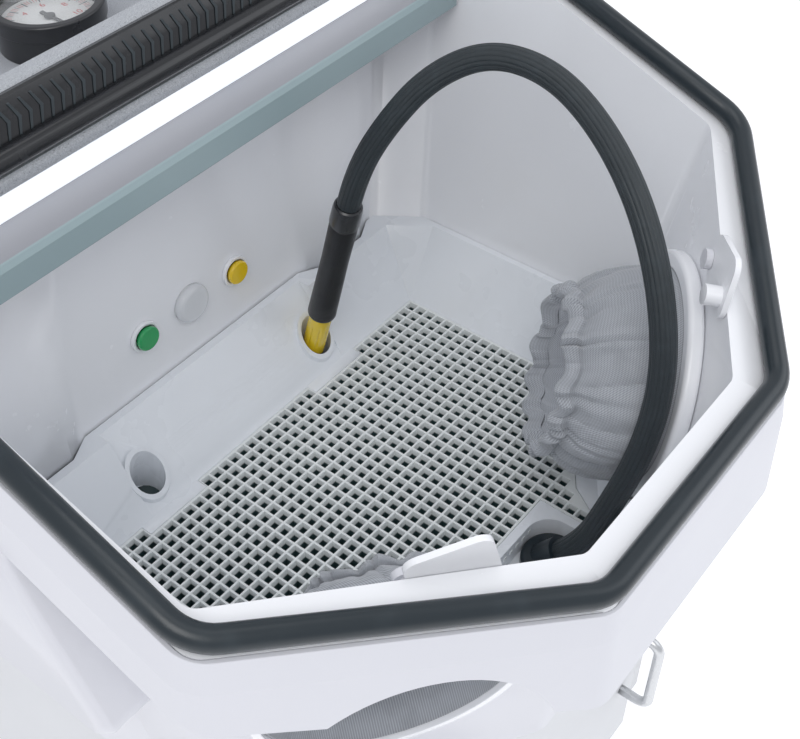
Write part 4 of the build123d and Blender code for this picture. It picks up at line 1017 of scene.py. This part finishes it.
def lathe(profile: list, sides: int, ripple: Callable | None = None) -> bpy.types.Mesh:
    """Turn a profile about Z.

    Args:
        profile: pairs of height and radius, from the bottom up; radius 0 closes an end.
        sides: facets round.
        ripple: optional function of angle and height that gives a radius to add.

    Returns:
        The mesh.
    """
    shape = bmesh.new()
    rings = []
    for height, radius in profile:
        if radius == 0:
            rings.append([shape.verts.new((0, 0, height))])
            continue
        ring = []
        for step in range(sides):
            angle = FULL_TURN * step / sides
            reach = radius + (ripple(angle, height) if ripple else 0.0)
            ring.append(shape.verts.new((reach * math.cos(angle), reach * math.sin(angle), height)))
        rings.append(ring)
    for low, high in zip(rings, rings[1:]):
        for step in range(sides):
            after = (step + 1) % sides
            if len(low) == 1:
                shape.faces.new((low[0], high[after], high[step]))
            elif len(high) == 1:
                shape.faces.new((low[step], low[after], high[0]))
            else:
                shape.faces.new((low[step], low[after], high[after], high[step]))
    bmesh.ops.recalc_face_normals(shape, faces=shape.faces)
    mesh = bpy.data.meshes.new("lathe")
    shape.to_mesh(mesh)
    shape.free()
    return mesh


def slab(outline: list, low: float, high: float, inset: float = 0.0) -> bpy.types.Mesh:
    """Plate with an outline in X and Y between two heights, its top edge drawn in by inset.

    Args:
        outline: corners, anticlockwise.
        low: height of its bottom.
        high: height of its top.
        inset: how far the top is drawn in about the outline's middle, as a share.

    Returns:
        The mesh.
    """
    shape = bmesh.new()
    middle = sum((Vector(point) for point in outline), Vector((0, 0))) / len(outline)
    bottom = [shape.verts.new((x, y, low)) for x, y in outline]
    top = []
    for point in outline:
        drawn = Vector(point).lerp(middle, inset)
        top.append(shape.verts.new((drawn.x, drawn.y, high)))
    shape.faces.new(top)
    shape.faces.new(list(reversed(bottom)))
    count = len(outline)
    for step in range(count):
        after = (step + 1) % count
        shape.faces.new((bottom[step], bottom[after], top[after], top[step]))
    bmesh.ops.recalc_face_normals(shape, faces=shape.faces)
    mesh = bpy.data.meshes.new("slab")
    shape.to_mesh(mesh)
    shape.free()
    return mesh


# ---- work grid -------------------------------------------------------------------------------


@dataclass
class WorkGrid:
    """The lift-out lattice that parts stand on."""

    shop: Workshop
    sizes: GridSizes = GridSizes()
    half_hole: float = 0.0053
    half_foot: float = 0.0040
    lip: float = 0.0003
    lobe_half: float = 0.110
    lobe: tuple = ((0.121, 0.056), (0.143, 0.020))
    side_end: float = 0.067
    notch_columns: int = 3
    rows_in_lobes: int = 4

    def outline(self) -> list:
        """Corners of the plan, in X and Y of the row frame, anticlockwise from the back right."""
        sizes, wall = self.sizes, self.shop.frame.back_wall
        edge = sizes.rib / 2
        half = sizes.columns * sizes.cell / 2
        back = wall - sizes.setback + edge
        front = wall - sizes.setback - sizes.rows * sizes.cell - edge
        notch = (sizes.columns / 2 - 11) * sizes.cell
        reach = self.notch_columns * sizes.cell
        right = [(self.lobe_half - edge, front), (self.lobe_half - edge, front - self.lobe[0][1])]
        right += [(x, front - out) for x, out in self.lobe]
        right += [(half + edge, front + self.side_end), (half + edge, back), (notch + reach, back)]
        step = back - sizes.cell
        right += [(notch + reach, step), (notch - reach, step), (notch - reach, back)]
        return right + [(-x, y) for x, y in reversed(right)]

    def inside(self, x: float, y: float, outline: list) -> bool:
        """Whether a point lies in an outline.

        Args:
            x: the point's place across.
            y: its place in depth.
            outline: the corners in order.

        Returns:
            True inside.
        """
        hit = False
        for (x0, y0), (x1, y1) in zip(outline, outline[1:] + outline[:1]):
            if (y0 > y) != (y1 > y) and x < (x1 - x0) * (y - y0) / (y1 - y0) + x0:
                hit = not hit
        return hit

    def cells(self, outline: list) -> list:
        """Centres of the open cells.

        Args:
            outline: the lattice's corners in order.

        Returns:
            The centres.
        """
        sizes, wall = self.sizes, self.shop.frame.back_wall
        reach = self.half_hole + 0.0008
        found = []
        for row in range(sizes.rows + self.rows_in_lobes):
            for column in range(sizes.columns):
                x = (column + 0.5 - sizes.columns / 2) * sizes.cell
                y = wall - sizes.setback - (row + 0.5) * sizes.cell
                corners = [(x + a * reach, y + b * reach) for a in (-1, 1) for b in (-1, 1)]
                if all(self.inside(*corner, outline) for corner in corners):
                    found.append((x, y))
        return found

    def cell(self) -> bpy.types.Mesh:
        """One open cell, its top at the origin."""
        outer, depth = self.sizes.cell / 2, self.sizes.thickness
        inner = self.half_hole
        levels = [
            (outer, 0.0), (inner + self.lip, 0.0), (inner, -self.lip),
            (self.half_foot, -depth), (outer, -depth),
        ]
        signs = ((-1, -1), (1, -1), (1, 1), (-1, 1))
        verts = [(a * half, b * half, z) for half, z in levels for a, b in signs]
        faces = []
        for level in range(len(levels) - 1):
            for side in range(4):
                after = (side + 1) % 4
                low, high = level * 4, level * 4 + 4
                faces.append((low + side, low + after, high + after, high + side))
        mesh = bpy.data.meshes.new("cell")
        mesh.from_pydata(verts, [], faces)
        return mesh

    def plate(self, outline: list, cells: list) -> list:
        """Triangles of the solid plate between the outline and the open cells.

        Args:
            outline: the lattice's corners in order.
            cells: centres of the open cells.

        Returns:
            The triangles, as three points each.
        """
        half = self.sizes.cell / 2
        points = [Vector(point) for point in outline]
        faces = [list(range(len(outline)))]
        for x, y in cells:
            start = len(points)
            points += [Vector((x + a * half, y + b * half)) for a, b in ((-1, -1), (1, -1), (1, 1), (-1, 1))]
            faces.append(list(range(start, start + 4)))
        spots, _, triangles, _, _, _ = delaunay_2d_cdt(points, [], faces, 1, 1e-5)
        kept = []
        for triangle in triangles:
            middle = sum((spots[index] for index in triangle), Vector((0, 0))) / 3
            covered = any(abs(middle.x - x) < half and abs(middle.y - y) < half for x, y in cells)
            if not covered and self.inside(middle.x, middle.y, outline):
                kept.append([spots[index] for index in triangle])
        return kept

    def build(self) -> None:
        """Make the lattice."""
        outline = self.outline()
        cells = self.cells(outline)
        top = self.shop.frame.grid_top
        depth = self.sizes.thickness
        scatter = Scatter(self.shop, "work_grid", Finish.LATTICE)
        mesh = scatter.mesh(self.cell(), [(Vector((x, y, top)), Matrix.Identity(3)) for x, y in cells])
        shape = bmesh.new()
        shape.from_mesh(mesh)
        for triangle in self.plate(outline, cells):
            upper = [shape.verts.new((point.x, point.y, top)) for point in triangle]
            lower = [shape.verts.new((point.x, point.y, top - depth)) for point in reversed(triangle)]
            shape.faces.new(upper)
            shape.faces.new(lower)
        bmesh.ops.remove_doubles(shape, verts=shape.verts, dist=0.00002)
        rim = [edge for edge in shape.edges if len(edge.link_faces) == 1]
        bmesh.ops.bridge_loops(shape, edges=rim)
        bmesh.ops.recalc_face_normals(shape, faces=shape.faces)
        shape.to_mesh(mesh)
        shape.free()
        piece = self.shop.piece("work_grid", mesh, Finish.LATTICE)
        self.shop.hang(piece, "grid")


# ---- hose and brush --------------------------------------------------------------------------


@dataclass
class Hose:
    """The braided supply hose, from its grommet to the brush."""

    shop: Workshop
    grommet: tuple = (0.066, -0.4025, -0.014)
    collar: float = 0.014
    route: tuple = (
        (0.0735, -0.430, 0.020), (0.0819, -0.446, 0.0754), (0.0975, -0.462, 0.150),
        (0.1196, -0.4602, 0.221), (0.1391, -0.4355, 0.293), (0.1664, -0.390, 0.3497),
        (0.195, -0.3289, 0.386), (0.207, -0.270, 0.408), (0.199, -0.212, 0.409),
        (0.172, -0.168, 0.381), (0.142, -0.1391, 0.3322),
    )
    radius: float = 0.012
    length: float = 0.800
    lead: float = 0.042
    ribs: int = 16
    sides: int = 96
    rib_depth: float = 0.0007

    def line(self, brush: "Brush") -> list:
        """Points of the centre line, read from a smooth spline.

        Args:
            brush: the brush that it ends in.

        Returns:
            The points.
        """
        frame = self.shop.frame
        top = frame.at(*self.grommet)
        points = [frame.at(*point) for point in self.route]
        start = top + (points[0] - top).normalized() * self.collar
        end = brush.end()
        points = [start, *points, end + brush.axis() * self.lead, end]
        data = bpy.data.curves.new("hose_route", "CURVE")
        data.dimensions = "3D"
        spline = data.splines.new("NURBS")
        spline.points.add(len(points) - 1)
        for spot, point in zip(spline.points, points):
            spot.co = (*point, 1.0)
        spline.order_u = 3
        spline.use_endpoint_u = True
        spline.resolution_u = 20
        holder = bpy.data.objects.new("hose_route", data)
        bpy.context.scene.collection.objects.link(holder)
        graph = bpy.context.evaluated_depsgraph_get()
        mesh = bpy.data.meshes.new_from_object(holder.evaluated_get(graph))
        line = [vert.co.copy() for vert in mesh.vertices]
        bpy.data.objects.remove(holder)
        return line

    def build(self, brush: "Brush") -> None:
        """Make the hose along its line.

        Args:
            brush: the brush that it ends in.
        """
        line = self.line(brush)
        shape = bmesh.new()
        layer = shape.loops.layers.uv.new("run")
        total = sum((b - a).length for a, b in zip(line, line[1:]))
        across = (line[1] - line[0]).orthogonal().normalized()
        rings, runs, run = [], [], 0.0
        for index, point in enumerate(line):
            ahead = (line[min(index + 1, len(line) - 1)] - line[max(index - 1, 0)]).normalized()
            across = (across - ahead * across.dot(ahead)).normalized()
            other = ahead.cross(across)
            ring = []
            for step in range(self.sides):
                angle = FULL_TURN * step / self.sides
                ridge = abs(math.sin(angle * self.ribs / 2)) ** 0.6
                reach = self.radius - self.rib_depth * (1 - ridge)
                way = across * math.cos(angle) + other * math.sin(angle)
                ring.append(shape.verts.new(point + way * reach))
            rings.append(ring)
            if index:
                run += (point - line[index - 1]).length
            runs.append(run / total)
        for low, high, start, end in zip(rings, rings[1:], runs, runs[1:]):
            for step in range(self.sides):
                after = (step + 1) % self.sides
                face = shape.faces.new((low[step], low[after], high[after], high[step]))
                left, right = step / self.sides, (step + 1) / self.sides
                for loop, spot in zip(face.loops, ((left, start), (right, start), (right, end), (left, end))):
                    loop[layer].uv = spot
        shape.faces.new(list(reversed(rings[0])))
        shape.faces.new(rings[-1])
        mesh = bpy.data.meshes.new("hose")
        shape.to_mesh(mesh)
        shape.free()
        piece = self.shop.piece("braided_hose", mesh, Finish.BRAID)
        self.shop.shade(mesh)
        self.shop.hang(piece, "hose")


@dataclass
class Brush:
    """The wash brush that stands in the right cup."""

    shop: Workshop
    mouth: tuple = (0.127, -0.049, 0.032)
    lean: float = math.radians(15.4)
    grip: tuple = (0.043, 0.215, 0.0155)
    ferrule: tuple = (-0.019, 0.043, 0.0125)
    bristles: tuple = (-0.0515, -0.019, 0.014)
    bristle_rings: int = 6
    pieces: dict = field(default_factory=dict)

    def axis(self) -> Vector:
        """Direction from the bristles to the hose."""
        return Vector((0, -math.sin(self.lean), math.cos(self.lean)))

    def end(self) -> Vector:
        """Top of the grip."""
        return self.shop.frame.at(*self.mouth) + self.axis() * self.grip[1]

    def turned(
        self, name: str, profile: list, node: str, finish: Finish, ripple: Callable | None = None
    ) -> None:
        """Turn a piece on the brush's axis and hang it.

        Args:
            name: the piece's name.
            profile: pairs of height and radius.
            node: the CAD node that it stands for.
            finish: its finish.
            ripple: optional function of angle and height that gives a radius to add.
        """
        mesh = lathe(profile, 96, ripple)
        turn = facing(self.axis(), Vector((0, 1, 0))).to_4x4()
        mesh.transform(Matrix.Translation(self.shop.frame.at(*self.mouth)) @ turn)
        piece = self.shop.piece(name, mesh, finish)
        self.shop.shade(mesh)
        self.shop.hang(piece, node)
        self.pieces[name] = piece

    def build(self) -> None:
        """Make the grip, the ferrule and the bristles."""
        low, high, reach = self.grip
        neck = high - 0.028
        self.turned("grip_sleeve", [
            (low, 0), (low, reach - 0.0018), (low + 0.0008, reach - 0.0006), (low + 0.003, reach),
            (low + 0.03, reach - 0.0004), (low + 0.09, reach - 0.0012), (neck - 0.004, reach - 0.0008),
            (neck - 0.001, reach - 0.0014), (neck, reach - 0.0024), (neck, 0),
        ], "brush_grip", Finish.KNURL)
        self.turned("hose_collar", [
            (neck, 0), (neck, reach - 0.0016), (neck + 0.001, reach - 0.0004), (neck + 0.003, reach),
            (high - 0.006, reach - 0.0004), (high - 0.002, reach - 0.0012), (high - 0.0005, reach - 0.0028),
            (high, 0),
        ], "brush_grip", Finish.BLACK)
        low, high, reach = self.ferrule
        slots = 8

        def fluted(angle: float, height: float) -> float:
            """Shallow flutes between the ends."""
            depth = max(0.0, 1 - abs(height - 0.012) / 0.018)
            return -0.0012 * min(1.0, depth * 3) * max(0.0, math.cos(angle * slots)) ** 3

        steps = [low + 0.001 + (high - low - 0.001) * part / 20 for part in range(21)]
        profile = [(low, 0), (low, reach - 0.001)] + [(height, reach) for height in steps]
        self.turned("ferrule", [*profile, (high, 0)], "brush_ferrule", Finish.FERRULE, fluted)
        low, high, reach = self.bristles
        bristle = lathe([(0, 0.00045), (low - high, 0.00032), (low - high - 0.0004, 0)], 6)
        base = self.shop.frame.at(*self.mouth) + self.axis() * (high + 0.001)
        turn = facing(self.axis(), Vector((0, 1, 0)))
        places = []
        for ring in range(self.bristle_rings + 1):
            count = max(1, ring * 7)
            for step in range(count):
                angle = FULL_TURN * (step + ring * 0.37) / count
                away = (reach - 0.0022) * ring / self.bristle_rings
                spot = Vector((math.cos(angle) * away, math.sin(angle) * away, 0))
                places.append((base + turn @ spot, turn))
        scatter = Scatter(self.shop, "bristle_tuft", Finish.BRISTLE)
        scatter.build(bristle, places, "brush_bristles", True)


# ---- glove ports -----------------------------------------------------------------------------


@dataclass
class GlovePort:
    """One glove port: its gathered sleeve."""

    shop: Workshop
    side: int
    word: str
    front: tuple = (0.129, -0.551, 0.134)
    diagonal: float = math.atan2(0.164, 0.227)
    along: float = 0.1404
    inset: float = 0.0594
    lean: float = math.radians(10)
    sag: float = 0.013
    reach: float = 0.110
    flat: tuple = (0.650, 0.130)
    rounds: int = 240
    profile: tuple = (
        (-0.009, 0.1026, 0.0, 0.0), (0.006, 0.1028, 0.0, 0.0), (0.018, 0.1030, 0.0, 0.001),
        (0.034, 0.1024, 0.0004, 0.0040), (0.052, 0.1000, 0.0010, 0.0075), (0.070, 0.0945, 0.0016, 0.0085),
        (0.083, 0.0868, 0.0024, 0.0060), (0.0905, 0.0790, 0.0030, 0.0030), (0.0935, 0.0752, 0.0030, 0.0015),
        (0.0955, 0.0765, 0.0034, 0.0012), (0.0985, 0.0798, 0.0040, 0.0010), (0.1035, 0.0806, 0.0044, 0.0010),
        (0.1080, 0.0790, 0.0044, 0.0010), (0.1105, 0.0752, 0.0040, 0.0010), (0.1090, 0.0718, 0.0036, 0.0010),
        (0.1020, 0.0700, 0.0030, 0.0010), (0.0950, 0.0712, 0.0026, 0.0010),
    )
    between: int = 5
    cloth: float = 0.0009
    ring: float = 0.018
    pulled: float = 1.0

    def plane(self) -> tuple:
        """The port on the chamber's wall.

        Returns:
            Its centre, its x and y directions and its inward direction.
        """
        frame = self.shop.frame
        cosine, sine = math.cos(self.diagonal), math.sin(self.diagonal)
        run = Vector((cosine * self.side, sine, 0))
        inward = Vector((-sine * self.side, cosine, 0))
        across, ahead, high = self.front
        start = Vector((across * self.side, frame.back_wall + ahead, frame.grid_top + high))
        centre = start + run * self.along + inward * self.inset
        out = inward * math.cos(self.lean) + Vector((0, 0, math.sin(self.lean)))
        x = run * -self.side
        return centre, x, out.cross(x), out

    def folds(self, angle: float) -> float:
        """Depth of the broad folds round the sleeve, from -1 to 1.

        Args:
            angle: place round the port.

        Returns:
            The depth.
        """
        phase = 0.9 if self.side > 0 else 2.1
        first = abs(math.sin(angle * 2.5 + phase + 0.35 * math.sin(angle * 2)))
        second = abs(math.sin(angle * 4 + 2.2 * phase))
        return 1.3 * (first ** 0.55 - 0.72) + 0.5 * (second ** 0.6 - 0.7)

    def ruffle(self, angle: float) -> float:
        """Gathers at the elastic, from -1 to 1."""
        wander = angle + 0.09 * math.sin(5 * angle) + 0.05 * math.sin(11 * angle + 1)
        return 0.75 * (abs(math.sin(13 * wander)) ** 0.7 * 2 - 1.25) + 0.35 * math.sin(37 * wander)

    def sections(self) -> list:
        """The profile with extra rows between its stations.

        Returns:
            The rows, each with the profile's four numbers.
        """
        rows = []
        for a, b in zip(self.profile, self.profile[1:]):
            for step in range(self.between):
                rows.append([p + (q - p) * step / self.between for p, q in zip(a, b)])
        rows.append(list(self.profile[-1]))
        for _ in range(2):
            rows = [rows[0]] + [
                [(p + 2 * q + r) / 4 for p, q, r in zip(*trio)] for trio in zip(rows, rows[1:], rows[2:])
            ] + [rows[-1]]
        return rows

    def sleeve(self) -> None:
        """Make the gathered sleeve."""
        centre, x, y, out = self.plane()
        shape = bmesh.new()
        layer = shape.loops.layers.uv.new("cloth")
        rings, runs = [], [0.0]
        rows = self.sections()
        for index, (along, radius, ruffled, folded) in enumerate(rows):
            part = max(0.0, along) / self.reach
            along = along if along < self.ring else self.ring + (along - self.ring) * self.pulled
            drop = self.sag * part ** 1.6
            ring = []
            for step in range(self.rounds):
                angle = FULL_TURN * step / self.rounds
                spot = Vector((math.cos(angle) * 9, math.sin(angle) * 9, along * 90 + self.side))
                crumple = noise.noise(spot)
                reach = radius + ruffled * self.ruffle(angle) + folded * self.folds(angle + along * 2.2)
                reach += crumple * ruffled * 0.5
                push = ruffled * 0.9 * math.sin(13 * angle + 1.3 * math.sin(3 * angle)) * part
                low = -drop + (-0.004 * part if math.sin(angle) < 0 else 0.0) * abs(math.sin(angle))
                level = centre + x * (reach * math.cos(angle)) + y * (reach * math.sin(angle) + low)
                ring.append(shape.verts.new(level + out * (along + push)))
            rings.append(ring)
            if index:
                before = rows[index - 1]
                runs.append(runs[-1] + math.hypot(along - before[0], radius - before[1]))
        for low, high, start, end in zip(rings, rings[1:], runs, runs[1:]):
            for step in range(self.rounds):
                after = (step + 1) % self.rounds
                face = shape.faces.new((low[step], low[after], high[after], high[step]))
                left, right = step / self.rounds, (step + 1) / self.rounds
                spots = ((left, start), (right, start), (right, end), (left, end))
                for loop, (across, run) in zip(face.loops, spots):
                    loop[layer].uv = (across, run / runs[-1])
        bmesh.ops.recalc_face_normals(shape, faces=shape.faces)
        mesh = bpy.data.meshes.new("sleeve")
        shape.to_mesh(mesh)
        shape.free()
        piece = self.shop.piece(f"{self.word}_glove_sleeve", mesh, Finish.TWILL)
        wall = piece.modifiers.new("cloth", "SOLIDIFY")
        wall.thickness = self.cloth
        wall.offset = 0.0
        self.shop.settle(piece)
        self.shop.shade(piece.data)
        self.shop.hang(piece, f"{self.word}_sleeve")

    def build(self) -> None:
        """Make the sleeve."""
        self.sleeve()


# ---- console details -------------------------------------------------------------------------


@dataclass
class ConsoleTrim:
    """Ribbing on the rear seal, prints on the gauge and the row of bright squares by the recess."""

    shop: Workshop
    strip_half: float = 0.336
    pitch: float = 0.0105
    face_foot: tuple = (-0.030, 0.420)
    face_top: tuple = (-0.014, 0.471)
    recess: tuple = (-0.371, 0.078, -0.009)
    square: float = 0.0048
    square_pitch: float = 0.0105

    def ribs(self) -> None:
        """Chevron ribs along the rear seal."""
        lean = math.atan2(self.face_top[0] - self.face_foot[0], self.face_top[1] - self.face_foot[1])
        up = Vector((0, math.sin(lean), math.cos(lean)))
        out = Vector((0, -math.cos(lean), math.sin(lean)))
        base = self.shop.frame.at(0, *self.face_foot) + up * 0.0315 + out * 0.0089
        turn = Matrix((Vector((1, 0, 0)), up, out)).transposed()
        if turn.determinant() < 0:
            turn = Matrix((Vector((-1, 0, 0)), up, out)).transposed()
        wide, tall, apex = 0.0034, 0.0140, 0.0052
        outline = [
            (-wide, -tall), (-wide + 0.0024, -tall), (apex, 0), (-wide + 0.0024, tall), (-wide, tall),
            (apex - 0.0036, 0),
        ]
        chevron = slab(outline, -0.0006, 0.0009, 0.12)
        count = int(self.strip_half / self.pitch)
        places = [(base + Vector((step * self.pitch, 0, 0)), turn) for step in range(-count, count + 1)]
        Scatter(self.shop, "seal_chevrons", Finish.CHEVRON).build(chevron, places, "rear_seal")

    def squares(self) -> None:
        """Bright squares on the wall between the recess and the grid."""
        y, half, z = self.recess
        place = self.square / 2
        corners = [(-place, -place), (place, -place), (place, place), (-place, place)]
        tile = slab(corners, -0.0002, 0.0008, 0.15)
        turn = facing(Vector((0, -1, 0)), Vector((0, 0, 1)))
        count = int(half / self.square_pitch)
        places = [
            (self.shop.frame.at(step * self.square_pitch, y, z), turn) for step in range(-count, count + 1)
        ]
        Scatter(self.shop, "recess_squares", Finish.SQUARES).build(tile, places, "tray")

    def gauge(self) -> None:
        """Scale, coloured arc and numbers on the gauge."""
        low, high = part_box("gauge_dial")
        centre = Vector(((low.x + high.x) / 2, (low.y + high.y) / 2, high.z + 0.0002))
        radius = (high.x - low.x) / 2
        shape = bmesh.new()
        slots = {Finish.INK: 0, Finish.RED: 1, Finish.GREEN_PRINT: 2}

        def bar(inner: float, outer: float, start: float, end: float, finish: Finish) -> None:
            """Part of a ring between two radii and two angles.

            Args:
                inner: inner radius as a part of the dial's.
                outer: outer radius as a part of the dial's.
                start: first angle in degrees.
                end: last angle in degrees.
                finish: the print's colour.
            """
            steps = max(1, int(abs(end - start) / 4))
            edges = []
            for step in range(steps + 1):
                angle = math.radians(start + (end - start) * step / steps)
                way = Vector((math.sin(angle), math.cos(angle), 0))
                edges.append([shape.verts.new(centre + way * (radius * part)) for part in (inner, outer)])
            for a, b in zip(edges, edges[1:]):
                face = shape.faces.new((a[0], a[1], b[1], b[0]))
                face.material_index = slots[finish]

        bar(0.80, 0.90, -120, -45, Finish.GREEN_PRINT)
        for step in range(0, 61):
            angle = -120 + 4 * step
            major = step % 6 == 0
            finish = Finish.RED if step % 3 else Finish.INK
            inner, wide = (0.70, 0.9) if major else (0.76, 0.45)
            bar(inner, 0.90, angle - wide, angle + wide, finish)
        bmesh.ops.recalc_face_normals(shape, faces=shape.faces)
        for face in shape.faces:
            if face.normal.z < 0:
                face.normal_flip()
        for number in range(0, 11, 2):
            data = bpy.data.curves.new("number", "FONT")
            data.body = str(number)
            data.size = radius * 0.22
            data.align_x = "CENTER"
            data.align_y = "CENTER"
            holder = bpy.data.objects.new("number", data)
            bpy.context.scene.collection.objects.link(holder)
            graph = bpy.context.evaluated_depsgraph_get()
            mesh = bpy.data.meshes.new_from_object(holder.evaluated_get(graph))
            bpy.data.objects.remove(holder)
            angle = math.radians(-120 + 24 * number)
            way = Vector((math.sin(angle), math.cos(angle), 0)) * (radius * 0.56)
            mesh.transform(Matrix.Translation(centre + way))
            before = len(shape.faces)
            shape.from_mesh(mesh)
            shape.faces.ensure_lookup_table()
            for face in shape.faces[before:]:
                face.material_index = slots[Finish.RED]
        mesh = bpy.data.meshes.new("prints")
        shape.to_mesh(mesh)
        shape.free()
        for finish in slots:
            mesh.materials.append(finish.material())
        piece = self.shop.piece("gauge_prints", mesh)
        self.shop.hang(piece, "gauge_dial", instead=False)

    def build(self) -> None:
        """Make the trims."""
        self.ribs()
        self.squares()
        self.gauge()


def main() -> None:
    """Build the machine, piece by piece."""
    logging.basicConfig(level=logging.INFO, format="%(message)s")
    frame = Frame()
    shop = Workshop(frame)
    Studio(frame).build()
    brush = Brush(shop)
    brush.build()
    Hose(shop).build(brush)
    Carcass(shop).build()
    WorkGrid(shop).build()
    GlovePort(shop, -1, "left", pulled=0.5, sag=0.006).build()
    GlovePort(shop, 1, "right").build()
    ConsoleTrim(shop).build()


if __name__ == "__main__":
    main()
